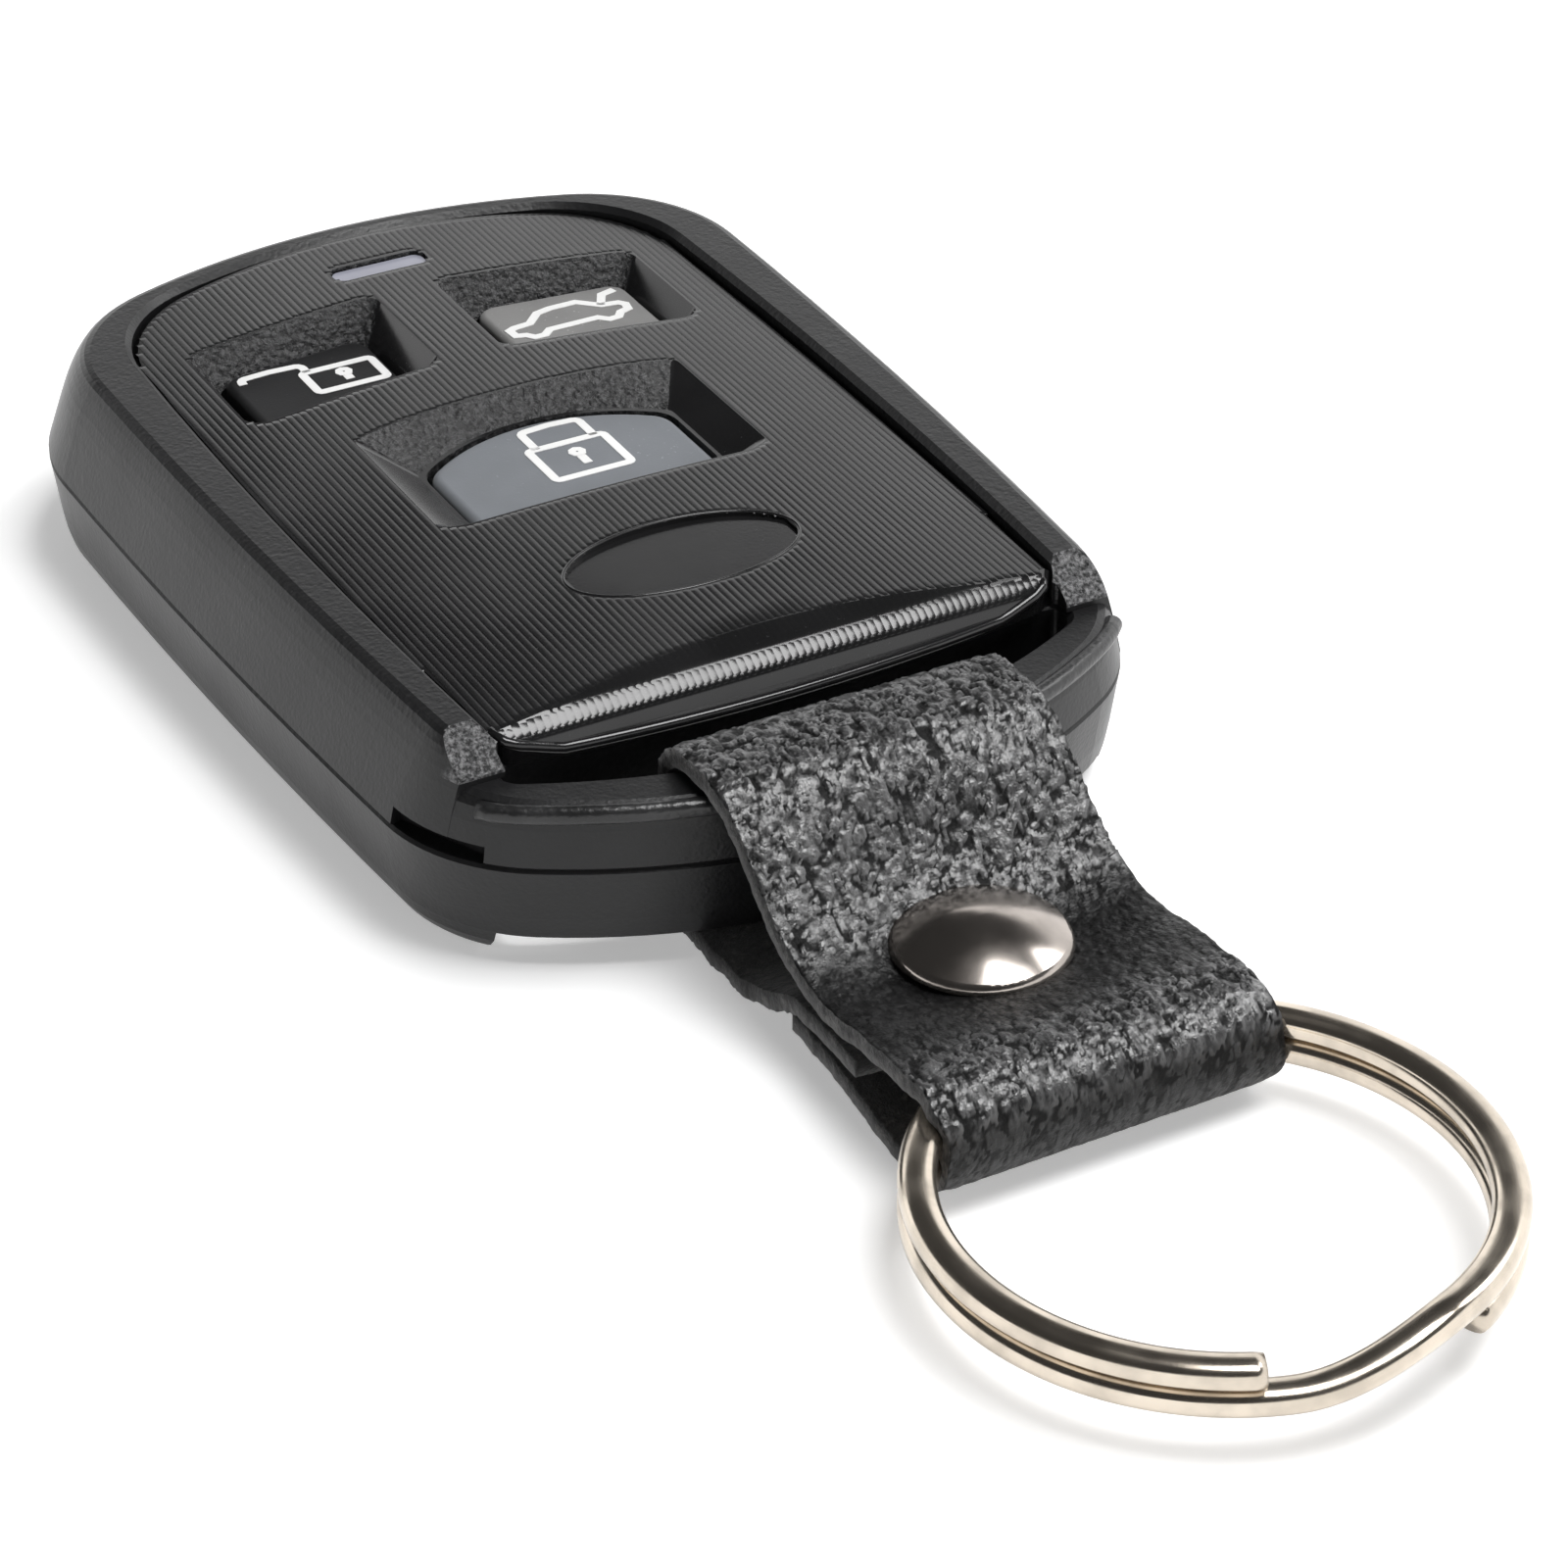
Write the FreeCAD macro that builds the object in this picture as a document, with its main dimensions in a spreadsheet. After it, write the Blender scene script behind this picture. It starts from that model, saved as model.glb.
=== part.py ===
"""Three-button car remote in its case, with a leather strap, a dome rivet and a double-coil split ring.

Millimetres. The origin is the middle of the case's flat underside, +Y runs to the lamp end, -Y to the
strap and ring, and +Z is up through the keys.
"""
import FreeCAD
import Part
import Sketcher
import math
import os

# Driving sizes: alias, value in millimetres or degrees, and what it measures.
SIZES = [
    ("case_length", 57.6, "case along Y at the seam"),
    ("case_width", 39.0, "case along X at the seam"),
    ("rim_rise", 0.1, "rim above the crown of the face panel"),
    ("seam_drop", 0.2, "seam between the shells below the top of the board"),
    ("widest_place", 14.0, "Y of the widest point of the case"),
    ("side_radius", 430.0, "bow of the long walls"),
    ("front_rise", 8.33, "rise of the strap end's bow over the case's whole width"),
    ("far_radius", 36.0, "bow of the lamp end"),
    ("front_corner", 8.5, "corner radius at the strap end"),
    ("far_corner", 10.5, "corner radius at the lamp end"),
    ("seam_bevel", 0.15, "small bevel on both lips of the seam"),
    ("shoulder_drop", 1.4, "rim top down to the shoulder"),
    ("shoulder_inset", 1.15, "draft of the upper wall up to the shoulder"),
    ("front_inset", 0.35, "draft of the upper wall at the strap end"),
    ("rim_bevel", 0.85, "width of the bevel between shoulder and rim top"),
    ("rim_round", 0.5, "rounding of the rim top"),
    ("rim_share", 0.4, "share of each wall stretch that its rounded corners take"),
    ("edge_bevel", 0.3, "bevel on the inner edges of rim and strap bar"),
    ("foot_height", 1.0, "height of the rounded bottom edge"),
    ("foot_inset", 0.55, "draft of the lower wall"),
    ("base_inset", 1.0, "width of the bevel under the bottom edge"),
    ("foot_round", 0.7, "rounding of the underside's edge"),
    ("wall", 1.5, "case wall at its thinnest"),
    ("floor_wall", 1.0, "floor of the lower shell"),
    ("deck_wall", 0.8, "deck of the upper shell under the face panel"),
    ("pry_height", 0.9, "height of the pry slot"),
    ("pry_depth", 1.1, "depth of the pry slot into the wall"),
    ("pry_length", 5.2, "length of the pry slot"),
    ("pry_turn", 25.0, "degrees of the pry slot round the front left corner"),
    ("slot_side", 5.3, "case wall to the strap slot's end, at the seam"),
    ("slot_wall", 1.5, "wall between strap slot and inner space"),
    ("slot_depth", 5.2, "strap slot along Y in the middle"),
    ("slot_end", 1.63, "strap slot along Y at its ends"),
    ("slot_corner", 1.0, "front corner radius of the strap slot"),
    ("slot_back_corner", 0.4, "back corner radius of the strap slot"),
    ("cavity_corner", 2.0, "front corner radius of the inner space"),
    ("bar_depth", 3.2, "strap bar along Y in the middle"),
    ("bar_drop", 1.9, "rim top down to the top of the strap bar"),
    ("bar_round", 0.7, "rounding of the strap bar"),
    ("bar_step", 0.05, "step between side rail and strap bar"),
    ("ramp_reach", 9.2, "front of the strap bar to where the rails begin to slope down"),
    ("ramp_length", 2.1, "length of the rail ramps"),
    ("ramp_drop", 1.5, "rim top down to the foot of the ramps"),
    ("relief_margin", 1.3, "strap relief beyond the strap slot's ends"),
    ("relief_height", 1.6, "height of the strap relief"),
    ("rail_width", 4.75, "case wall to the face panel's long side, at the seam"),
    ("far_rail", 3.4, "case wall to the face panel's far edge, at the seam"),
    ("lip_reach", 6.9, "front of the strap bar to the panel's lip"),
    ("face_side_radius", 376.0, "bow of the panel's long sides"),
    ("face_widest", 3.0, "Y of the panel's widest point"),
    ("face_far_radius", 30.0, "bow of the panel's far edge"),
    ("face_front_radius", 82.0, "bow of the panel's lip"),
    ("face_far_corner", 7.0, "far corner radius of the panel"),
    ("face_front_corner", 1.2, "front corner radius of the panel"),
    ("face_gap", 0.3, "groove between panel and rim"),
    ("deck_room", 1.1, "switch housings to the deck that carries the panel"),
    ("face_rise", 2.0, "panel thickness at the middle of its crown"),
    ("crown_radius", 198.0, "crown of the panel across X"),
    ("nose_length", 3.5, "rolled nose of the panel with its lip"),
    ("nose_round", 0.9, "rounding of the nose's bends"),
    ("lip_length", 0.8, "lip of the panel"),
    ("lip_rise", 0.45, "thickness of the lip"),
    ("well_taper", 1.3, "how far the side wells' walls slope in"),
    ("near_taper", 0.2, "slope of the wells' near walls"),
    ("well_round", 1.0, "corner radius of the wells"),
    ("lock_margin", 5.7, "lock well to the panel's long side"),
    ("lock_depth", 10.7, "lock well along Y"),
    ("lock_drop", 1.1, "depth of the lock well's sloped walls below the crown"),
    ("lock_slope", 2.25, "how far the lock well's side walls slope in"),
    ("lock_far_slope", 1.4, "how far its far wall slopes in, in the middle"),
    ("lock_arch", 2.5, "rise of the arched far side of the lock key and its opening"),
    ("lock_ledge", 0.2, "ledge at the foot of the lock well's walls"),
    ("well_space", 4.15, "side wells to the lock well, at the inner corners"),
    ("side_in", 1.6, "inner edge of the side wells"),
    ("side_margin", 2.25, "outer edge of the side wells to the panel's long side"),
    ("side_depth", 8.1, "side wells along Y at the inner corner"),
    ("side_far_in", 6.5, "panel's far edge to the side wells"),
    ("side_slant", 0.9, "drop of the far edge towards the outer corner"),
    ("near_slant", 1.2, "drop of the near edge towards the outer corner"),
    ("key_gap", 0.2, "running gap round each key"),
    ("key_sink", 1.3, "side keys below the crown of the panel"),
    ("lock_sink", 1.0, "lock key below the crown of the panel"),
    ("key_round", 0.35, "rounding of the side keys' tops"),
    ("lock_round", 0.45, "rounding of the lock key's top"),
    ("lock_corner", 1.6, "far corner radius of the lock key and its opening"),
    ("oval_length", 11.6, "oval recess along X"),
    ("oval_width", 5.8, "oval recess along Y"),
    ("oval_depth", 0.25, "depth of the oval recess"),
    ("lamp_length", 5.2, "lamp slot along X"),
    ("lamp_width", 1.5, "lamp slot along Y"),
    ("lamp_round", 0.6, "corner radius of the lamp slot"),
    ("lamp_in", 3.7, "panel's far edge to the lamp slot"),
    ("lamp_gap", 0.1, "gap round the light pipe"),
    ("lamp_sink", 0.2, "light pipe below the crown of the panel"),
    ("lamp_flange", 0.9, "flange of the light pipe beyond its stem"),
    ("lamp_flange_rise", 0.5, "thickness of that flange"),
    ("mat_wall", 0.6, "silicone keypad web"),
    ("mat_margin", 1.2, "keypad web beyond the key openings"),
    ("board_wall", 1.0, "circuit board"),
    ("board_gap", 0.4, "gap between board and case wall"),
    ("post_radius", 1.4, "posts that clamp the board"),
    ("post_side", 4.2, "posts in from the long walls of the inner space"),
    ("post_far_in", 5.4, "posts in from the far wall of the inner space"),
    ("post_near_in", 1.9, "posts in from the near wall of the inner space"),
    ("switch_width", 4.5, "switch housing along X and Y"),
    ("switch_rise", 0.8, "switch housing height"),
    ("plunger_radius", 1.0, "switch plunger"),
    ("plunger_rise", 0.4, "plunger above its housing"),
    ("plunger_sink", 0.35, "plunger inside its housing"),
    ("plunger_gap", 0.08, "running gap round the plunger"),
    ("cell_radius", 10.0, "coin cell radius"),
    ("cell_rise", 3.2, "coin cell thickness"),
    ("cell_step", 0.35, "height of the cell's negative cap"),
    ("cell_cap_radius", 8.8, "radius of the cell's negative cap"),
    ("cell_place", 2.0, "Y of the cell"),
    ("cell_gap", 0.25, "gap between cell and its rib"),
    ("rib_wall", 0.9, "rib round the cell"),
    ("rib_rise", 1.8, "height of that rib"),
    ("contact_wall", 0.2, "contact spring strip"),
    ("contact_width", 4.0, "contact strip along Y"),
    ("contact_reach", 8.0, "contact strips across the cell"),
    ("contact_gap", 0.3, "room round the contact strip"),
    ("chip_length", 7.0, "control chip along X"),
    ("chip_width", 5.0, "control chip along Y"),
    ("chip_rise", 1.1, "control chip height"),
    ("chip_in", 4.5, "near wall of the inner space to the control chip's middle"),
    ("can_length", 5.0, "resonator can along Y"),
    ("can_width", 3.8, "resonator can along X"),
    ("can_rise", 1.3, "resonator can height"),
    ("can_x", 5.9, "X of the resonator can"),
    ("led_length", 1.6, "indicator lamp along X"),
    ("led_width", 0.8, "indicator lamp along Y"),
    ("led_rise", 0.6, "indicator lamp height"),
    ("passive_length", 1.6, "chip capacitor along X"),
    ("passive_width", 0.8, "chip capacitor along Y"),
    ("passive_rise", 0.6, "chip capacitor height"),
    ("passive_pitch", 1.8, "spacing of the chip capacitors"),
    ("passive_x", -6.2, "X of the chip capacitors"),
    ("leather", 1.0, "strap thickness"),
    ("strap_width", 16.2, "strap along X"),
    ("strap_shift", 0.55, "strap centre, right of the middle"),
    ("strap_gap", 0.25, "strap to strap bar"),
    ("strap_lift", 0.3, "lower strap layer above the table"),
    ("flex_reach", 3.6, "strap bar's front to the flex line"),
    ("flex_gap", 0.15, "gap at the flex line"),
    ("rivet_reach", 4.6, "flex line to rivet"),
    ("rivet_radius", 4.0, "rivet cap radius"),
    ("rivet_dome", 1.7, "rivet cap height"),
    ("rivet_rim", 0.6, "height of the rivet cap's side"),
    ("rivet_roll", 0.3, "bevel under the rivet cap's side and on its base"),
    ("rivet_round", 0.5, "rounding between the rivet cap's side and its dome"),
    ("rivet_base_radius", 3.2, "rivet base radius"),
    ("rivet_base_rise", 1.0, "rivet base thickness"),
    ("post_bore", 1.3, "rivet post radius"),
    ("post_gap", 0.05, "gap round the rivet post"),
    ("clamp_reach", 4.15, "rivet centre to where the layers part"),
    ("ring_radius", 12.5, "split ring outer radius"),
    ("wire_radius", 0.6, "split ring wire radius"),
    ("coil_pitch", 1.62, "spacing of the two coils"),
    ("ring_room", 0.2, "room round the ring inside the fold"),
    ("fold_end", 0.2, "ring to the end of the fold"),
    ("fold_slope", 0.4, "slope of the fold's upper layer beside the rivet"),
    ("ring_tilt", -1.0, "degrees that the ring leans down towards the table"),
    ("jog_start", -108.0, "degrees where the wire begins to climb"),
    ("jog_end", -72.0, "degrees where the wire has climbed one coil"),
    ("jog_gap", 6.0, "degrees between the climb and the wire's ends"),
]


class Size:
    """A length that keeps its number and the sheet expression that gives it."""

    def __init__(self, value, text):
        self.value = value
        self.text = text

    @staticmethod
    def of(other):
        return other if isinstance(other, Size) else Size(float(other), repr(float(other)))

    def _join(self, other, sign, value):
        return Size(value, f"({self.text} {sign} {Size.of(other).text})")

    def __add__(self, other):
        return self._join(other, "+", self.value + Size.of(other).value)

    def __sub__(self, other):
        return self._join(other, "-", self.value - Size.of(other).value)

    def __mul__(self, other):
        return self._join(other, "*", self.value * Size.of(other).value)

    def __truediv__(self, other):
        return self._join(other, "/", self.value / Size.of(other).value)

    def __neg__(self):
        return Size(-self.value, f"(0 - {self.text})")

    __radd__ = __add__

    def __rsub__(self, other):
        return Size.of(other) - self

    __rmul__ = __mul__


class Sizes:
    """Every driving size by name."""

    def __init__(self, rows):
        for alias, value, _ in rows:
            setattr(self, alias, Size(value, f"Sizes.{alias}"))


S = Sizes(SIZES)
ZERO = Size.of(0)
doc = FreeCAD.newDocument("car_remote")
pieces = []


def make_sheet():
    """Write the driving sizes to the document's spreadsheet."""
    sheet = doc.addObject("Spreadsheet::Sheet", "Sizes")
    for row, (alias, value, note) in enumerate(SIZES, start=1):
        sheet.set(f"A{row}", note)
        sheet.set(f"B{row}", str(value))
        sheet.setAlias(f"B{row}", alias)
    doc.recompute()


def bind(obj, prop, size):
    """Tie a property to the sheet."""
    obj.setExpression(prop, Size.of(size).text)


def keep(obj, label):
    """Name a finished piece and put it on the export list."""
    obj.Label = label
    pieces.append(obj)
    return obj


# How near an edge lies to the place it is picked by, and the least climb of a steep edge.
NEAR = 0.1
STEEP = 0.3
# Places along a rounded corner where a wall's loft has a level.
ROUND_LEVELS = (0.0, 0.35, 0.65, 1.0)
# Shares of run and fall at the two bends of the panel's nose.
NOSE_SHOULDER = (0.55, 0.2)
NOSE_KNEE = (0.88, 0.58)


# Sketches and features.

def new_body(name):
    return doc.addObject("PartDesign::Body", name)


def sketch_on(body, name, role, offset=ZERO):
    """A sketch on one of the body's own origin planes, moved along the plane's normal."""
    plane = next(p for p in body.Origin.OriginFeatures if p.Role == role)
    sketch = body.newObject("Sketcher::SketchObject", name)
    sketch.AttachmentSupport = [(plane, "")]
    sketch.MapMode = "FlatFace"
    bind(sketch, "AttachmentOffset.Base.z", offset)
    return sketch


def dimension(sketch, kind, *where, size):
    """A driven dimension, tied to the sheet."""
    index = sketch.addConstraint(Sketcher.Constraint(kind, *where, Size.of(size).value))
    name = f"size{index}"
    sketch.renameConstraint(index, name)
    bind(sketch, f"Constraints.{name}", size)


def pin(sketch, geo, point, x, y):
    """Fix a point of the sketch at x, y from its origin."""
    dimension(sketch, "DistanceX", -1, 1, geo, point, size=x)
    dimension(sketch, "DistanceY", -1, 1, geo, point, size=y)


def vector(x, y, z=0.0):
    return FreeCAD.Vector(Size.of(x).value, Size.of(y).value, Size.of(z).value)


def polygon(sketch, points):
    """A closed run of straight lines through the points."""
    first = sketch.GeometryCount
    count = len(points)
    for i in range(count):
        ends = vector(*points[i]), vector(*points[(i + 1) % count])
        sketch.addGeometry(Part.LineSegment(*ends))
    for i in range(count):
        follower = first + (i + 1) % count
        sketch.addConstraint(Sketcher.Constraint("Coincident", first + i, 2, follower, 1))
        pin(sketch, first + i, 1, *points[i])


def rectangle(sketch, low_x, high_x, low_y, high_y):
    polygon(sketch, [(low_x, low_y), (high_x, low_y), (high_x, high_y), (low_x, high_y)])


def arched(sketch, corners, rise):
    """Near, right and left lines through the corners and an arc that rises to the far corners' line."""
    near_left, near_right, far_right, far_left = corners
    right, left = [(x, y - rise) for x, y in (far_right, far_left)]
    radius = bow_radius(far_right[0], rise)
    first = sketch.GeometryCount
    ends = [near_left, near_right, right, left]
    for one, two in ((near_left, near_right), (near_right, right)):
        sketch.addGeometry(Part.LineSegment(vector(*one), vector(*two)))
    centre = vector(ZERO, far_right[1] - radius)
    sketch.addGeometry(arc_of(centre, radius.value, vector(*right), vector(*left)))
    sketch.addGeometry(Part.LineSegment(vector(*left), vector(*near_left)))
    for i in range(4):
        sketch.addConstraint(Sketcher.Constraint("Coincident", first + i, 2, first + (i + 1) % 4, 1))
        pin(sketch, first + i, 1, *ends[i])
    dimension(sketch, "Radius", first + 2, size=radius)


def circle(sketch, x, y, radius):
    geo = sketch.addGeometry(Part.Circle(vector(x, y), FreeCAD.Vector(0, 0, 1), radius.value))
    pin(sketch, geo, 3, x, y)
    dimension(sketch, "Radius", geo, size=radius)


def bow_radius(half, rise):
    """Radius of an arc that rises so much over a chord of twice the half."""
    return (half * half + rise * rise) / (rise * 2)


def arc_of(centre, radius, start, end):
    """Counter-clockwise arc between two points of a circle."""
    ring = Part.Circle(centre, FreeCAD.Vector(0, 0, 1), radius)
    angles = [math.atan2(p.y - centre.y, p.x - centre.x) for p in (start, end)]
    if angles[1] <= angles[0]:
        angles[1] += 2 * math.pi
    return Part.ArcOfCircle(ring, *angles)


class Outline:
    """A closed plan outline of four bowed sides and four tangent corners, symmetric about Y."""

    def __init__(self, front, far, half, radii, corners, widest):
        self.front, self.far, self.half = front, far, half
        self.front_radius, self.far_radius, self.side_radius = radii
        self.front_corner, self.far_corner = corners
        self.widest = widest

    def inset(self, side, front=None, far=None):
        """The same outline moved inwards, by more or less at its ends if wanted."""
        front = side if front is None else front
        far = side if far is None else far
        radii = (self.front_radius - front, self.far_radius - far, self.side_radius - side)
        corners = (self.front_corner - side, self.far_corner - side)
        return Outline(self.front + front, self.far - far, self.half - side, radii, corners, self.widest)

    def _sides(self):
        """Centre and radius of the front, right, far and left sides."""
        right = self.half - self.side_radius
        return [
            ((ZERO, self.front + self.front_radius), self.front_radius),
            ((right, self.widest), self.side_radius),
            ((ZERO, self.far - self.far_radius), self.far_radius),
            ((-right, self.widest), self.side_radius),
        ]

    def _corner(self, one, two, radius, toward):
        """Centre of the corner circle inside two sides, on the side that toward points to."""
        (c1, r1), (c2, r2) = [(vector(*c), r.value - radius.value) for c, r in (one, two)]
        along = c2 - c1
        gap = along.Length
        reach = (gap * gap + r1 * r1 - r2 * r2) / (2 * gap)
        height = math.sqrt(max(r1 * r1 - reach * reach, 0.0))
        unit = along * (1 / gap)
        normal = FreeCAD.Vector(-unit.y, unit.x, 0)
        found = [c1 + unit * reach + normal * (height * sign) for sign in (1, -1)]
        return max(found, key=lambda p: p.x * toward[0] + p.y * toward[1])

    def front_left(self):
        """Centre of the front left corner."""
        sides = self._sides()
        return self._corner(sides[3], sides[0], self.front_corner, (-1, -1))

    def draw(self, sketch):
        sides = self._sides()
        corner_sizes = [self.front_corner, self.far_corner, self.far_corner, self.front_corner]
        toward = [(1, -1), (1, 1), (-1, 1), (-1, -1)]
        corners = []
        for i in range(4):
            corners.append(self._corner(sides[i], sides[(i + 1) % 4], corner_sizes[i], toward[i]))
        touch = []
        for i in range(4):
            for side in (sides[i], sides[(i + 1) % 4]):
                centre = vector(*side[0])
                touch.append(centre + (corners[i] - centre).normalize() * side[1].value)
        for i in range(4):
            centre, radius = sides[i]
            sketch.addGeometry(arc_of(vector(*centre), radius.value, touch[2 * i - 1], touch[2 * i]))
            sketch.addGeometry(
                arc_of(corners[i], corner_sizes[i].value, touch[2 * i], touch[2 * i + 1])
            )
        for geo in range(8):
            sketch.addConstraint(Sketcher.Constraint("Tangent", geo, 2, (geo + 1) % 8, 1))
        for i in range(4):
            centre, radius = sides[i]
            pin(sketch, 2 * i, 3, *centre)
            dimension(sketch, "Radius", 2 * i, size=radius)
            dimension(sketch, "Radius", 2 * i + 1, size=corner_sizes[i])


def outline_sketch(body, name, height, outline):
    sketch = sketch_on(body, name, "XY_Plane", height)
    outline.draw(sketch)
    return sketch


def solid_tip(body):
    """The body's last solid feature."""
    return [f for f in body.Group if f.isDerivedFrom("PartDesign::Feature")][-1]


def softened(points, share):
    """A run of (height, side inset, front inset) points with its inner corners rounded off."""
    run = [points[0]]
    for before, corner, after in zip(points, points[1:], points[2:]):
        enter = [c + (b - c) * share for b, c in zip(before, corner)]
        leave = [c + (a - c) * share for a, c in zip(after, corner)]
        for way in ROUND_LEVELS:
            weights = ((1 - way) ** 2, 2 * way * (1 - way), way ** 2)
            run.append([e * weights[0] + c * weights[1] + f * weights[2]
                        for e, c, f in zip(enter, corner, leave)])
    return run + [points[-1]]


def wall_loft(body, name, levels):
    """A wall through the case outline drawn in by each level's insets."""
    sketches = []
    for index, (height, side, front) in enumerate(levels):
        sketches.append(outline_sketch(body, f"{name}{index}", height, CASE.inset(side, front=front)))
    return loft(body, name, sketches)


def loft(body, name, sketches, cut=False):
    """A ruled loft through the sketches."""
    kind = "PartDesign::SubtractiveLoft" if cut else "PartDesign::AdditiveLoft"
    feature = body.newObject(kind, name)
    feature.Profile = sketches[0]
    feature.Sections = sketches[1:]
    feature.Ruled = True
    doc.recompute()
    return feature


def pad(body, name, sketch, length, both=False):
    feature = body.newObject("PartDesign::Pad", name)
    feature.Profile = sketch
    bind(feature, "Length", length)
    if both:
        feature.Midplane = True
    doc.recompute()
    return feature


def pocket(body, name, sketch, length, up=False, both=False):
    """Cut along the sketch's normal: down by default, up, or both ways."""
    before = solid_tip(body).Shape.Volume
    feature = body.newObject("PartDesign::Pocket", name)
    feature.Profile = sketch
    bind(feature, "Length", length)
    feature.Reversed = up
    if both:
        feature.Midplane = True
    doc.recompute()
    if feature.Shape.isNull() or feature.Shape.Volume > before - 1e-6:
        raise ValueError(f"{name} cuts nothing")
    return feature


def fillet(body, name, edges, radius):
    base = solid_tip(body)
    feature = body.newObject("PartDesign::Fillet", name)
    feature.Base = (base, edges)
    bind(feature, "Radius", radius)
    doc.recompute()
    return feature


def flat_edges(shape, height, accept=None):
    """Names of the edges that lie level at a height."""
    names = []
    for index, edge in enumerate(shape.Edges, start=1):
        box = edge.BoundBox
        if abs(box.ZMin - height.value) < 1e-4 and abs(box.ZMax - height.value) < 1e-4:
            if accept is None or accept(edge.CenterOfMass):
                names.append(f"Edge{index}")
    return names


def steep_edges(shape, places, reach=NEAR):
    """Names of the edges that climb and pass near one of the places in plan."""
    names = []
    for index, edge in enumerate(shape.Edges, start=1):
        if edge.BoundBox.ZLength < STEEP:
            continue
        middle = edge.CenterOfMass
        if any(math.hypot(middle.x - x.value, middle.y - y.value) < reach for x, y in places):
            names.append(f"Edge{index}")
    return names


# Heights that the stack inside the case gives.
CELL_FOOT = S.floor_wall + S.contact_wall
BOARD_FOOT = CELL_FOOT + S.cell_rise + S.contact_wall
BOARD_TOP = BOARD_FOOT + S.board_wall
SEAM = BOARD_TOP - S.seam_drop
SWITCH_TOP = BOARD_TOP + S.switch_rise
KEY_FOOT = SWITCH_TOP + S.plunger_rise
DECK_FOOT = SWITCH_TOP + S.deck_room
FACE_SEAT = DECK_FOOT + S.deck_wall
FACE_TOP = FACE_SEAT + S.face_rise
CASE_TOP = FACE_TOP + S.rim_rise
SHOULDER = CASE_TOP - S.shoulder_drop
BAR_TOP = CASE_TOP - S.bar_drop
RAMP_FOOT = CASE_TOP - S.ramp_drop

# Places in plan; front places count from the middle towards the strap.
BAR_FRONT = S.case_length / 2
SLOT_FRONT = BAR_FRONT - S.bar_depth
SLOT_BACK = SLOT_FRONT - S.slot_depth
SLOT_HALF = S.case_width / 2 - S.slot_side
FRONT_BOW = bow_radius(S.case_width / 2, S.front_rise)
SLOT_BOW = bow_radius(SLOT_HALF, S.slot_depth - S.slot_end)
RAMP_START = BAR_FRONT - S.ramp_reach
FACE_HALF = S.case_width / 2 - S.rail_width
FACE_FAR = S.case_length / 2 - S.far_rail
FACE_FRONT = BAR_FRONT - S.lip_reach
NOSE_START = FACE_FRONT - S.nose_length
NOSE_END = FACE_FRONT - S.lip_length
SIDE_OUT = FACE_HALF - S.side_margin
LOCK_HALF = FACE_HALF - S.lock_margin
SIDE_FAR = FACE_FAR - S.side_far_in
SIDE_NEAR = SIDE_FAR - S.side_depth
LOCK_FAR = SIDE_NEAR - S.well_space
LOCK_NEAR = LOCK_FAR - S.lock_depth
OVAL_Y = (LOCK_NEAR - NOSE_START) / 2
LAMP_Y = FACE_FAR - S.lamp_in

# Plan outlines.
CASE = Outline(
    -BAR_FRONT, S.case_length / 2, S.case_width / 2,
    (FRONT_BOW, S.far_radius, S.side_radius), (S.front_corner, S.far_corner), S.widest_place,
)
FACE = Outline(
    -FACE_FRONT, FACE_FAR, FACE_HALF,
    (S.face_front_radius, S.face_far_radius, S.face_side_radius),
    (S.face_front_corner, S.face_far_corner), S.face_widest,
)
SLOT = Outline(
    -SLOT_FRONT, -SLOT_BACK, SLOT_HALF,
    (SLOT_BOW, S.side_radius, S.side_radius),
    (S.slot_corner, S.slot_back_corner), (SLOT_FRONT + SLOT_BACK) / -2,
)
CAVITY_INSET = S.wall + S.shoulder_inset
CAVITY_HALF = S.case_width / 2 - CAVITY_INSET
CAVITY_FAR = S.case_length / 2 - CAVITY_INSET
CAVITY_FRONT = SLOT_BACK - S.slot_wall
CAVITY = Outline(
    -CAVITY_FRONT, CAVITY_FAR, CAVITY_HALF,
    (S.side_radius, S.far_radius - CAVITY_INSET, S.side_radius - CAVITY_INSET),
    (S.cavity_corner, S.far_corner - CAVITY_INSET), S.widest_place,
)
POST_ROWS = (S.post_near_in - CAVITY_FRONT, CAVITY_FAR - S.post_far_in)
POSTS = [((CAVITY_HALF - S.post_side) * side, y) for side in (1, -1) for y in POST_ROWS]
CHIP_Y = S.chip_in - CAVITY_FRONT


def lock_corners(side, far, near):
    """Corners of the lock well, drawn in at its sides, far edge and near edge."""
    half = LOCK_HALF - side
    low, high = LOCK_NEAR + near, LOCK_FAR - far
    return [(-half, low), (half, low), (half, high), (-half, high)]


def side_corners(hand, side, far, near):
    """Corners of a side well; its far and near edges drop towards the outer corners."""
    inner, outer = S.side_in + side, SIDE_OUT - side
    low, high = SIDE_NEAR + near, SIDE_FAR - far
    points = [(inner, low), (outer, low - S.near_slant), (outer, high - S.side_slant), (inner, high)]
    return [(x * hand, y) for x, y in points]


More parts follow.
